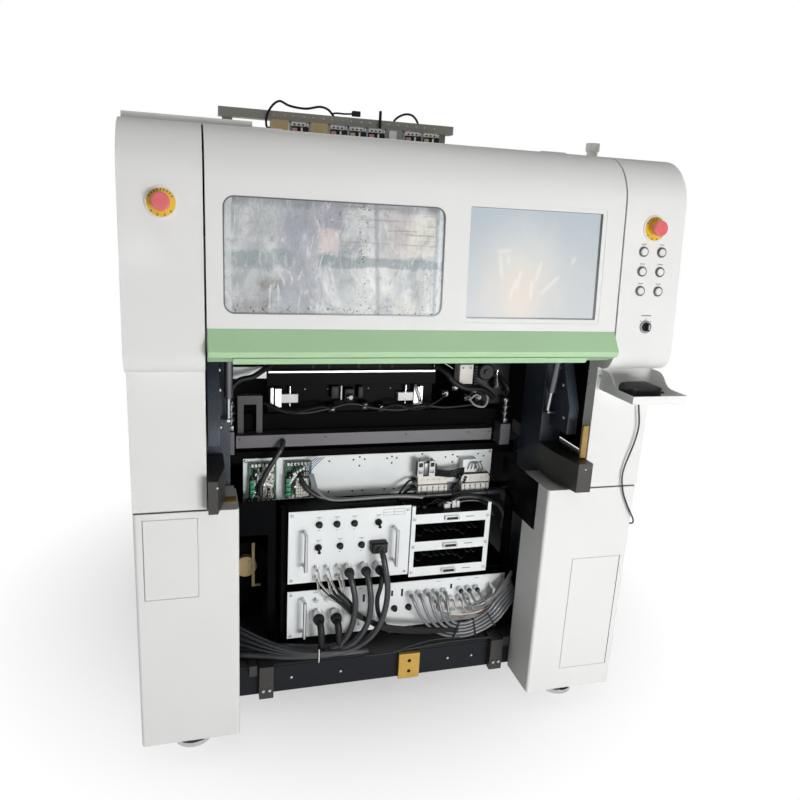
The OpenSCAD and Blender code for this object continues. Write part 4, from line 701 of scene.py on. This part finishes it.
def bay_panel():
    """Board panel: screws, spare holes and the parts on the circuit boards"""
    # Dark discs in place of the spare holes: the shade inside them is painted
    holes = Kit("panel_holes", HOLE, "frame_black")
    for u, v in ((0.325, 0.13), (0.42, 0.12), (0.445, 0.06), (0.465, 0.12), (0.445, 0.27), (0.555, 0.12),
                 (0.575, 0.08), (0.595, 0.12), (0.575, 0.24), (0.325, 0.87), (0.42, 0.88), (0.46, 0.88),
                 (0.55, 0.88), (0.59, 0.88), (0.70, 0.05), (0.80, 0.15), (0.83, 0.1), (0.85, 0.15), (0.83, 0.28),
                 (0.94, 0.1), (0.965, 0.16), (0.955, 0.3)):
        holes.rod(at(-361 + 693 * u, PANEL_Y + 0.1, 646 - 118 * v), FRONT, 2.6, 0.25, 0.05, 12)
    metal = Kit("panel_screws", STEEL, "bright_steel")
    dark = Kit("board_parts_dark", PLASTIC, "black_plastic")
    pale = Kit("board_plugs", WHITE_PLASTIC, "button_white")
    green = Kit("board_relays", RELAY, "board_green")
    cream = Kit("board_terminals", CREAM, "valve_tan")
    for x in (-355, 326):
        for z in (534, 640):
            metal.screw(x, PANEL_Y, z, 4.5)
    for b, x0 in enumerate(BOARDS_X):
        for k in range(5):
            metal.screw(x0 + 55, BOARD_Y - 10, 550 + 18 * k, 2.4)
        for k in range(60 - 24 * b):
            x, z, r = x0 + 8 + 48 * draw(), 538 + (72 if b else 92) * draw(), 1.2 + 2 * draw()
            kind = (dark, metal, cream, dark, pale)[k % 5]
            if not b or x < x0 + 26 or z > 606:
                kind.box((x - r, x + r), (BOARD_Y - 4 - 14 * draw(), BOARD_Y), (z - r, z + 2 * r), 0.4)
        for k in range(4):
            z = 548 + 13 * k
            green.box((x0 + 2, x0 + 14), (BOARD_Y - 20, BOARD_Y - (16 if k == 3 else 12)), (z, z + 11), 0.6)
        for k in range(8):
            z = 541 + 8.2 * k
            for j in range(3):
                x = x0 + 28 + 6.4 * j
                cream.box((x, x + 5.6), (BOARD_Y - 11, BOARD_Y), (z, z + 7), 0.5)
        for k in range(7):
            pale.box((x0 + 5 + 9 * k, x0 + 11 + 9 * k), (BOARD_Y - 8, BOARD_Y), (629, 637), 0.4)
        for x, z, tilt in ((20, 600, 24), (44, 588, -64), (33, 618, 52)):
            pale.box((x0 + x - 3, x0 + x + 3), (BOARD_Y - 22, BOARD_Y - 17), (z - 17, z + 17), 1,
                     Matrix.Rotation(math.radians(tilt + 8 * b), 3, "Y"))
    white = Kit("board_wires", WIRE_WHITE, "button_white")
    blue = Kit("board_wires_blue", WIRE_BLUE, "cable_black")
    grey = Kit("shelf_leads", GREY_PLASTIC, "cable_black")
    black = Kit("board_wires_black", RUBBER, "cable_black")
    for k in range(16):
        x, z = -338 + 52 * draw(), 545 + 70 * draw()
        (black, white, grey)[k % 3].tube([(x, -590, z), (x + 3, -606, z + 4), (x + 14 * draw() - 4, -612, z - 16),
                                          (x + 20 * draw() - 10, -604, z - 30)], 1.1, 6)
    for k in range(4):
        black.tube([(-236 + 9 * k, -595, 634), (-232 + 9 * k, -608, 630), (-226 + 8 * k, -610, 612 - 3 * k),
                    (-206 + 4 * k, -604, 600)], 1.2, 6)
        blue.tube([(-208 + 5 * k, -598, 606), (-203 + 6 * k, -606, 624), (-190 + 7 * k, -604, 640),
                   (-174 + 7 * k, -594, 649)], 1.0, 6)
    for k in range(3):
        x, y = 4 * k, -634 - 5 * k
        grey.tube([(x - 192, -600, 606), (x - 188, -612, 590), (x - 182, -618 - 4 * k, 570),
                   (3 * k - 160, y + 6, 552), (-120, y, 546), (-40, y, 545 + k), (50, y, 545 + k), (110, y, 540)],
                  3.2, 8)
    black.tube([(-340, -600, 560), (-352, -606, 545), (-368, -600, 530), (-384, -590, 520)], 2.4, 8)


def valves():
    """Valve blocks: coils, joints, plugs and hoses"""
    metal = Kit("valve_metal", DARK_STEEL, "bright_steel")
    dark = Kit("valve_plugs", PLASTIC, "black_plastic")
    pale = Kit("valve_coils", WHITE_PLASTIC, "valve_tan")
    label = Kit("valve_labels", WHITE_PLASTIC, "button_white")
    for x0, x1 in ((105, 190), (232, 313)):
        for k in range(5):
            x = x0 + 9 + k * (x1 - x0 - 18) / 4
            dark.box((x - 0.6, x + 0.6), (-616, -612), (537, 561), 0.1)
            metal.screw(x, -615, 555, 2.0)
            pale.rod(at(x + 4, -609, 576), FRONT, 2.6, 3)
        dark.box((x0 - 1, x1 + 1), (-616, -576), (533, 536.2), 0.4)
        dark.box((x0, x1), (-609.8, -608), (561.5, 563.5), 0.2)
        dark.box((x0, x1), (-610, -600), (587, 590), 0.4)
        for y in (-600, -592, -584):
            dark.rod(at(x0 - 0.2, y, 549), -RIGHT, 4.2, 14)
            dark.rod(at(x0 - 0.2, y, 572), -RIGHT, 4.2, 10)
            metal.rod(at(x0 - 8, y, 549), -RIGHT, 3.0, 8)
    for x in (101, 134):
        pale.box((x, x + 17), (-614, -601), (588, 632), 1.2)
        metal.box((x + 3, x + 14), (-615.5, -613), (598, 606), 0.5)
        dark.box((x - 2, x), (-613, -601), (590, 630), 0.3)
        dark.box((x + 3, x + 14), (-614.6, -613.6), (616, 628), 0.3)
        metal.rod(at(x + 8, -607, 632), SKY, 3.4, 5)
    metal.box((119, 132), (-612, -602), (591, 626), 1)
    dark.box((152, 157), (-612, -601), (590, 622), 0.6)
    for x in (242, 259, 276, 293):
        label.box((x, x + 13), (-615.3, -614.5), (541, 556), 0.2)
        label.box((x, x + 13), (-609.3, -608.5), (567, 583), 0.2)
    for k in range(3):
        dark.box((236 + 2 * k, 242 + 2 * k), (-616, -600), (563 + 7 * k, 568 + 7 * k), 0.4)
    for k in range(9):
        x = 166 + 38 * draw()
        label.box((x, x + 9), (-662 + 12 * draw(), -644), (512, 519 + 16 * draw()), 0.8)
    for k in range(6):
        x = 104 + 96 * draw()
        dark.box((x, x + 11), (-660 + 10 * draw(), -646), (512, 516 + 12 * draw()), 0.8)
    hoses = Kit("valve_hoses", RUBBER, "cable_black")
    for r, n, *pts in (
            (4, 10, (91, -600, 549), (78, -606, 548), (58, -618, 536), (56, -634, 518), (84, -640, 508),
             (110, -640, 516)),
            (3, 10, (95, -592, 572), (80, -600, 570), (50, -622, 544), (50, -640, 516), (90, -646, 512)),
            (3.4, 10, (218, -592, 549), (210, -602, 548), (202, -620, 530), (204, -636, 514), (222, -640, 516)),
            (2.4, 8, (236, -612, 590), (222, -628, 588), (208, -632, 560), (196, -638, 530), (180, -644, 522)),
            (2.6, 8, (310, -600, 588), (318, -606, 580), (334, -606, 566), (352, -600, 556), (378, -590, 540))):
        hoses.tube(pts, r, n)
    for k in range(4):
        z = -5 * k
        hoses.tube([(152, -606, z + 602), (166, -611, z + 603), (190, -613, z + 600), (214, -612, 603 - 6 * k),
                    (238, -609, z + 606)], 2.6, 8)
    for k in range(5):
        hoses.tube([(118 + 18 * k, -652, 522), (130 + 16 * k, -660, 530 + 2 * k),
                    (150 + 12 * k, -655, 538 - 3 * k), (176 + 10 * k, -650, 524)], 1.8, 6)
    grey = Kit("valve_leads", CABLE, "cable_black")
    for k in range(3):
        grey.tube([(250 + 10 * k, -592, 588), (252 + 10 * k, -604, 604), (256 + 9 * k, -606, 618),
                   (268 + 8 * k, -606, 620), (276 + 9 * k, -604, 604), (278 + 9 * k, -592, 588)], 1.2, 6)
    grey.tube([(190, -648, 526), (220, -646, 536), (270, -644, 532), (312, -642, 516), (340, -640, 500),
               (357, -638, 470), (358, -634, 430)], 6.5, 12)
    grey.tube([(196, -652, 520), (232, -650, 526), (274, -650, 522), (306, -648, 500), (322, -644, 474)], 3, 10)


def rack_front():
    """Control rack: screws, plain marks, dark parts and the boots and collars of its plugs"""
    metal = Kit("rack_screws", STEEL, "bright_steel")
    marks = Kit("rack_marks", MARK, "frame_black")
    dark = Kit("rack_dark_parts", PLASTIC, "black_plastic")
    ink = (RACK_Y - 0.15, RACK_Y + 0.1)
    for x, z in ((-248, 350), (-248, 530), (56, 350), (56, 528), (-248, 190), (-248, 308), (344, 190), (344, 306),
                 (76, 344), (284, 344), (76, 418.6), (284, 418.6), (76, 497.6), (284, 497.6)):
        metal.screw(x, RACK_Y, z, 4.2)
    for x, z in FUSES + TOGGLES:
        for dz, w in ((16, 5), (19.5, 14), (-17, 6)):
            marks.box((x - w / 2, x + w / 2), ink, (z + dz - 0.6, z + dz + 0.6), 0.1)
    for x in (-190, -150, -110, -70, 150, 210, 262):
        marks.box((x, x + 12), ink, (309, 310.2), 0.1)
    for z in (516, 524, 532):
        marks.box((-10, 48), ink, (z, z + 0.7), 0.1)
    for x in (-10, 19, 47.3):
        marks.box((x, x + 0.7), ink, (516, 532.7), 0.1)
    for z in CARDS_Z:
        marks.box((222, 246), ink, (z - 1, z + 1), 0.1)
        dark.box((165, 196), (-698.4, -696), (z - 3.5, z + 3.5), 0.8)
        for x in (161.5, 199.5):
            metal.screw(x, -697, z, 2.2)
    for x, z, h in ((-53, 280, 22), (25, 286, 16), (53, 286, 22), (194, 291, 14)):
        dark.box((x - 3, x + 3), (-690.4, -689.5), (z - h / 2, z + h / 2), 0.2)
    for x in (-183, -155):
        metal.rod(at(x, RACK_Y, 289), FRONT, 7.5, 4)
        metal.rod(at(x, RACK_Y - 4, 289), FRONT, 4.5, 7)
    boots = Kit("cable_boots", RUBBER, "cable_black")
    for x, z, y, r in ((-102, 375.1, -714.4, 12), (-58, 375.1, -714.4, 12), (-21, 375.1, -714.4, 11),
                       *((x, z, -716.4, 14) for x, z in ROUND_PLUGS)):
        boots.turned(at(x, y, z), FRONT, [(0, 0), (r, 0), (r + 1, 2), (r + 1, 7), (r, 9), (r - 1, 16),
                                          (r - 3, 18), (0, 18)])
    boots.box((-40, -2), (-717, -708.4), (420, 446), 3)
    for x, z in ROUND_PLUGS:
        boots.tube([(x, -728, z), (x + 1, -738, z - 4), (x + 3, -744, z - 22), (x + 5, -742, z - 54),
                    (x + 8, -736, 160)], 9, 12)
    boots.tube([(-21, -730, 375.1), (-20, -742, 368), (-24, -746, 340), (-30, -742, 300), (-20, -736, 250),
                (10, -736, 200)], 6, 12)
    for k in range(3):
        boots.tube([(-168 + 16 * k, -708, 330), (-150 + 15 * k, -722, 316), (-122 + 12 * k, -728, 292),
                    (-92 + 7 * k, -732, 262), (-52 + 5 * k, -736, 238), (-6 + 3 * k, -742, 212 + 5 * k),
                    (60, -745, 198 + 6 * k), (130, -744, 190 + 4 * k), (170, -741, 186 + 4 * k),
                    (204, -740.5, 180 + 6 * k)], 4.4, 10)
    for k in range(2):
        boots.tube([(-60, -764 - 4 * k, 158), (0, -772, 160), (50 + 20 * k, -772, 172 - 6 * k),
                    (120 + 40 * k, -768, 182 - 12 * k), (200 + 90 * k, -766, 178 - 10 * k)], 2.2, 8)
    collars = Kit("lead_collars", GREY_PLASTIC, "black_plastic")
    for x in IO_ROW[:5]:
        collars.turned(at(x, -706.3, IO_Z), FRONT, [(4.6, 0), (6.6, 0.2), (6.6, 4), (5.6, 7), (4.7, 7.4)], 14)
    for x in IO_ROW[5:]:
        dark.turned(at(x, -706.3, IO_Z), FRONT, [(0, 0), (6.6, 0), (6.6, 4), (5.6, 7), (0, 7.4)], 14)


def rack_wiring():
    """Wires in the card slots and in front of the rack, with their ties"""
    slots = Kit("slot_wires", RUBBER, "cable_black")
    for k in range(10):
        x, top = 72 + 18 * k, 438 + 22 * draw()
        for z in (top, top - 74):
            slots.tube([(x, -590, z), (x + 12, -640, z + 8), (x + 30, -664, z - 4), (x + 50, -640, z + 2)], 2, 6)
    pale = Kit("rack_wires", WIRE_WHITE, "button_white")
    red = Kit("rack_wires_red", WIRE_RED, "stop_red")
    thin = Kit("rack_leads", SHEATH, "cable_black")
    dark = Kit("rack_wires_dark", GREY_PLASTIC, "cable_black")
    for i in range(3):
        for k in range(2):
            x, z = -184.4 + 28.5 * i, 353.1 + 29 * k
            for j, kit in enumerate((pale, dark)):
                kit.tube([(x + 3 * j - 1.5, -704, z), (x + 3 * j, -714, z - 3), (x + 8 + 4 * j, -721, z - 34),
                          (-128 + 9 * i + 3 * k, -724, 290), (-98 + 5 * i + 3 * j, -726, 258),
                          (-76 + 3 * i, -724, 222)], 1.3, 6)
    for i in range(5):
        x = 145 + 23.5 * i
        for j in range(3):
            kit = pale if (i + j) % 4 else red
            kit.tube([(x + 2.4 * j - 2.4, -706, 258.4), (x + 2 * j, -716, 256),
                      (x + 6 + 3 * j, -722, 240 - 3 * j), (214 + 14 * i, -726, 218 + 3 * j),
                      (290 + 6 * i, -730, 236 + 6 * i), (366, -708, 286 + 5 * i)], 1.2, 6)
    for i, x in enumerate(IO_ROW[5:]):
        thin.tube([(x, -712, IO_Z), (x + 1, -722, 279), (x + 8 + 3 * i, -732, 262),
                   (x + 34 - 5 * i, -734, 250 + 4 * i), (332, -724, 282 + 9 * i),
                   (364, -708, 320 + 6 * i)], 3.4, 10)
    pale.box((-184.8, -181.6), (-764, -761.6), (150, 188), 0.5)
    ties = Kit("cable_ties", PLASTIC, "black_plastic")
    for x, z, dx, dz in ((196, 186, 12, 38), (250, 189, -8, 40), (297, 210, -24, 38)):
        length = math.hypot(dx, dz)
        ties.ring(at(x, -740.5, z), rounded(length + 14, 13.5, 5.5), rounded(length + 11, 10.5, 4.6), -2, 2,
                  Vector((dx, 0, dz)).normalized(), FRONT)
    for p, way, r, R in ((at(-152, -738, 170), Vector((-0.97, 0.1, -0.2)), 8.7, 10),
                         (at(-268, -714.4, 163), Vector((-0.97, 0.24, 0)), 8.7, 10),
                         *((at(x, -626, 537.8), RIGHT, 8.1, 9.2) for x in (-70, 40, 120, 300))):
        ties.turned(p, way, [(r, 0), (R, 0), (R, 4), (r, 4)])


def bank_parts():
    """Hoses, fittings and bolts along the feeder bank and the beam under it"""
    metal = Kit("bank_metal", DARK_STEEL, "bright_steel")
    dark = Kit("bank_blocks", PLASTIC, "black_plastic")
    pale = Kit("bank_fittings", CREAM, "valve_tan")
    chrome = Kit("bank_chrome", CHROME, "bright_steel")
    for x in (-370, -150, 70, 250, 312):
        metal.screw(x, -590, 704, 2.6)
    for x in (-200, -140, -30, 32):
        metal.screw(x, -544, 822, 2.8)
    for x in (-181, -139, -60, -2, 32):
        dark.box((x - 2, x + 2), (-550.6, -549.6), (876, 889.6), 0.2)
    for x, w, z0, z1 in ((-134, 20, 800, 834), (-98, 26, 790, 826), (-62, 14, 800, 832)):
        dark.box((x, x + w), (-566, -544.3), (z0, z1), 2)
    pale.box((-110, -106), (-570, -562), (798, 836), 1)
    for x, z in ((-84, 806), (-132, 778), (-44, 782), (2, 776), (180, 812), (208, 830), (246, 800), (262, 818),
                 (278, 800)):
        metal.rod(at(x, -572, z), FRONT, 6, 8)
        metal.rod(at(x - 11, -576, z), RIGHT, 3.4, 15)
        dark.box((x - 9, x + 9), (-572, -546), (z - 12, z + 8), 2)
    for x in (-241, 71):
        chrome.rod(at(x, -558, 812.5), SKY, 3.4, 22)
        chrome.rod(at(x, -558, 780), SKY, 2.6, 10)
    chrome.tube([(96, -566, 836), (100, -570, 820), (108, -570, 800), (112, -566, 786)], 4, 10)
    pale.box((211, 250), (-590, -548), (841, 895), 2)
    for x in (220, 241):
        metal.screw(x, -590, 886, 2.6)
    for k in range(7):
        dark.box((254, 264), (-590, -572), (838 + 8 * k, 844 + 8 * k), 1)
    dark.box((252, 266), (-572, -548), (832, 896), 1)
    dark.turned(at(292, -560, 872), FRONT, [(0, 0), (24, 0), (24, 20), (20, 24), (8, 24), (8, 30), (0, 30)])
    dark.box((272, 372), (-560, -546), (776, 894), 2)
    chrome.turned(at(324, -582, 834), SKY, [(0, 0), (15, 0), (14, 4), (5, 24), (3.5, 44), (0, 44)])
    dark.box((314, 334), (-592, -560), (826, 834), 1)
    for x0, z1 in ((-398, 806), (350, 800)):
        metal.box((x0, x0 + 13), (-594, -574), (727.4, 742), 1.5)
        metal.rod(at(x0 + 6.5, -584, 742), SKY, 5, z1 - 742)
        for k in range(3):
            metal.turned(at(x0 + 6.5, -584, 752 + 18 * k), SKY, [(5, 0), (9, 1), (9, 7), (5, 8)])
        metal.box((x0 - 3, x0 + 12), (-592, -576), (z1 - 10, z1), 3)
    Kit("bank_end_plate", PANEL, "panel_white").box((-392, -301.5), (-562, -556), (856, 886), 1)
    hoses = Kit("bank_hoses", RUBBER, "cable_black")
    for r, n, *pts in (
            (7, 12, (-396, -604, 806), (-392, -606, 838), (-372, -606, 862), (-340, -604, 870), (-312, -590, 884),
             (-292, -572, 894)),
            (4, 10, (-308, -566, 792), (-262, -580, 774), (-210, -582, 768), (-150, -580, 776), (-84, -580, 790),
             (-20, -578, 776), (50, -580, 770), (120, -582, 780), (190, -580, 774), (300, -570, 782)),
            (3, 8, (-292, -566, 788), (-240, -584, 770), (-170, -586, 784), (-132, -582, 778)),
            (3, 8, (2, -580, 776), (40, -588, 786), (96, -586, 772), (150, -584, 790), (180, -580, 812)),
            (8, 12, (150, -566, 888), (172, -586, 874), (196, -598, 848), (230, -600, 832), (282, -594, 826),
             (318, -580, 800)),
            (6, 12, (330, -560, 866), (346, -580, 846), (356, -590, 826), (360, -580, 812))):
        hoses.tube(pts, r, n)
    grey = Kit("bank_thin_hoses", GREY_PLASTIC, "cable_black")
    grey.tube([(246, -580, 800), (262, -592, 782), (290, -592, 778), (300, -586, 800), (290, -576, 824)], 3, 10)
    grey.tube([(278, -580, 800), (262, -594, 812), (244, -590, 796)], 3, 10)


def frame_parts():
    """Bolts of the frame, the hooks and the docking guides, foam strips, plates and a dark sheet of painted
    shade, pump bracket, floor cables
    """
    metal = Kit("frame_bolts", STEEL, "bright_steel")
    for s in (-1, 1):
        for dx in (-8, 8):
            metal.rod(at(s * 316 + dx, -760, 84), FRONT, 4.5, 3.5, 0.8, 6)
        for y, z in ((-790, 800), (-770, 880), (-745, 920)):
            metal.rod(at(s * 425, y, z), -RIGHT * s, 5, 3.5, 0.8, 6)
        metal.screw(s * 436, -904, 700, 2.6)
    for x in (-250, -120, 180, 250):
        metal.screw(x, -740, 100, 3.5)
    for y, z in ((-832, 931), (-835, 896)):
        metal.screw(457, y, z, 4, -RIGHT)
    metal.screw(465, -868, 925, 4)
    strip = Kit("foam_strip", GASKET, "valve_tan")
    strip.box((438, 454), (-868, -858), (716, 800), 2)
    strip.box((-424, -392), (-830, -796), (634, 636.5), 1)
    plate = Kit("bay_plates_and_shade_sheet", GLOSS, "frame_black")
    plate.box((359.2, 361.8), (-813, -600), (505, 633.5), 0.6)
    plate.slab(at(0, -640, 0), [(-391, 462), (-391, 554), (-283, 554), (-283, 152), (-303, 152), (-303, 462)],
               0, 4, y=SKY)
    # A dark sheet behind the pump: painted shade, closing the view through the machine
    plate.box((-398, -180), (-388, -384), (150, 560), 0.6)
    rim = Kit("pump_bracket", TAN, "valve_tan")
    rim.slab(at(0, -540, 0), [(-336, 262), (-336, 392), (-328, 392), (-328, 268), (-312, 268), (-312, 262)],
             0, 3, y=SKY)
    for k in range(6):
        a = math.radians(60 * k)
        rim.screw(-352 + 20 * math.cos(a), -538, 320 + 20 * math.sin(a), 3)
    loom = Kit("floor_loom", CABLE, "cable_black")
    for k in range(10):
        j = k % 3
        loom.tube([(-387, -676 - 5 * j, 174 + 6 * k), (-330, -706 - 5 * j, 168 + 4.2 * k),
                   (-268, -732 - 4 * j, 166 + 2.2 * k), (-200, -750 - 2 * j, 164 + 1.2 * k),
                   (-130, -756 + 2 * j, 162 + k), (-50, -752 + 3 * j, 158 + 0.4 * k)], 3.6, 10)


def roof_parts():
    """Coils, plates, plugs and screws of the valve units on the roof rail; the cap of the beacon's socket"""
    dark = Kit("unit_coils", PLASTIC, "black_plastic")
    metal = Kit("unit_metal", STEEL, "bright_steel")
    pale = Kit("unit_caps", WHITE_PLASTIC, "button_white")
    tan = Kit("unit_plates", TAN, "valve_tan")
    pink = Kit("unit_inserts", PINK, "valve_tan")
    for i in range(9):
        x = -237 + 55 * i
        if i in (0, 2):
            tan.box((x - 24, x + 24), (-241, -231.4), (1455, 1511), 1)
            dark.box((x - 8, x + 8), (-242, -240.6), (1466, 1470), 0.3)
            for dx in (-5, 1, 7):
                dark.box((x + dx - 1, x + dx + 1), (-242, -240.6), (1460, 1470), 0.3)
            pink.box((x + 26, x + 38), (-240, -222), (1457, 1480), 1)
        elif i == 6:
            pale.box((x - 18, x + 4), (-240, -231.4), (1460, 1508), 1)
        else:
            dark.box((x - 24, x + 24), (-240, -231.4), (1460, 1498), 1.5)
            pale.box((x - 24, x + 16), (-242, -231.4), (1499, 1509), 1)
            for dx in (-16, -4, 8):
                dark.box((x + dx - 3, x + dx + 3), (-242.6, -241), (1501, 1505), 0.3)
            metal.box((x + 17, x + 24), (-240, -231.4), (1499, 1508), 1)
            (pink if i % 2 else tan).box((x - 22, x - 8), (-241.5, -239), (1466, 1494), 1)
            pale.box((x + 2, x + 7), (-241.5, -239), (1466, 1496), 0.6)
        for dx in (-15, 15):
            metal.screw(x + dx, -213, 1526, 3.0)
    dark.rod(at(51, -220, 1509), SKY, 4.2, 52, 1.5)
    dark.box((-29, -5), (-212, -198), (1541.5, 1556), 1.5)
    dark.tube([(-88, -205, 1543), (-74, -205, 1546), (-50, -205, 1546), (-28, -205, 1548)], 2.6, 10)
    cap = Kit("beacon_cap", WHITE_PLASTIC, "button_white")
    cap.turned(at(530.5, -595, 1447), SKY, [(16, -15), (16, 0), (13, 2), (13, 20), (11, 22), (0, 22)], 28)


for add in (hood_trim, controls, bay_panel, valves, rack_front, rack_wiring, bank_parts, frame_parts, roof_parts):
    add()
pieces = {kit.name: kit.done() for kit in Kit.made}
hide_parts("mouse_cord")


# Floor, background and light
def set_floor():
    """Pale floor with the object's shadow; further out it is white where it is seen"""
    me = bpy.data.meshes.new("floor")
    me.from_pydata([(-30, -30, -0.001), (30, -30, -0.001), (30, 30, -0.001), (-30, 30, -0.001)], [],
                   [(0, 1, 2, 3)])
    floor = bpy.data.objects.new("floor", me)
    show(floor)
    f = Finish("floor")
    f.put(Base_Color=f.ramp(f.noise(0.7, 3), (0.3, "f4f4f4"), (0.7, "fafafa")), Roughness=0.9,
          Specular_IOR_Level=0.1)
    far = f.node("VectorMath")
    far.operation = "LENGTH"
    f.plug(far.inputs[0], f.where)
    fade = f.node("MapRange", Value=far.outputs["Value"], From_Min=0.1, From_Max=1.15).outputs["Result"]
    ray = f.node("LightPath").outputs
    seen = f.plus(f.plus(ray["Is Camera Ray"], ray["Is Glossy Ray"]), ray["Is Transmission Ray"])
    blend = f.node("MixShader")
    for i, value in enumerate((f.times(fade, seen), f.bsdf.outputs[0], f.node("Emission").outputs[0])):
        f.plug(blend.inputs[i], value)
    f.plug(f.tree.nodes["Material Output"].inputs["Surface"], blend.outputs[0])
    me.materials.append(f.mat)


def set_world():
    """White background, and a low even light"""
    world = bpy.context.scene.world = bpy.data.worlds.new("studio")
    w = Tree(world)
    ray = w.node("LightPath").outputs
    seen = w.plus(ray["Is Camera Ray"], ray["Is Transmission Ray"])
    w.fill(w.tree.nodes["Background"], {"Color": (1, 1, 1, 1), "Strength": w.spread(seen, 0.11, 1.0)})


def lamp(name, place, aim, size, power):
    data = bpy.data.lights.new(name, "AREA")
    data.shape = "RECTANGLE"
    data.size, data.size_y = size
    data.energy = power
    o = bpy.data.objects.new(name, data)
    o.location = place
    o.rotation_euler = (Vector(aim) - Vector(place)).to_track_quat("-Z", "Y").to_euler()
    show(o)


set_floor()
set_world()
lamp("front", (0.95, -3.8, 0.5), (0.1, -0.7, 0.55), (1.3, 0.8), 61)
lamp("key", (1.7, -3.6, 3.0), (0.1, -0.6, 0.9), (2.0, 1.6), 12)
lamp("top", (-0.4, -0.6, 4.2), (0, 0, 1.0), (3.0, 3.0), 26)
lamp("left", (-4.0, 0.6, 2.0), (0, 0.2, 0.7), (3.2, 2.6), 46)
lamp("right", (4.0, 0.6, 2.0), (0, 0.2, 0.7), (3.2, 2.6), 26)
lamp("back", (0.6, 4.4, 2.2), (0, 0.4, 0.7), (3.0, 2.4), 60)
lamp("glint", (-0.78, -4.06, 1.4), (-0.57, -0.87, 1.18), (0.16, 0.13), 4)

scene = bpy.context.scene
scene.view_settings.view_transform = "Standard"
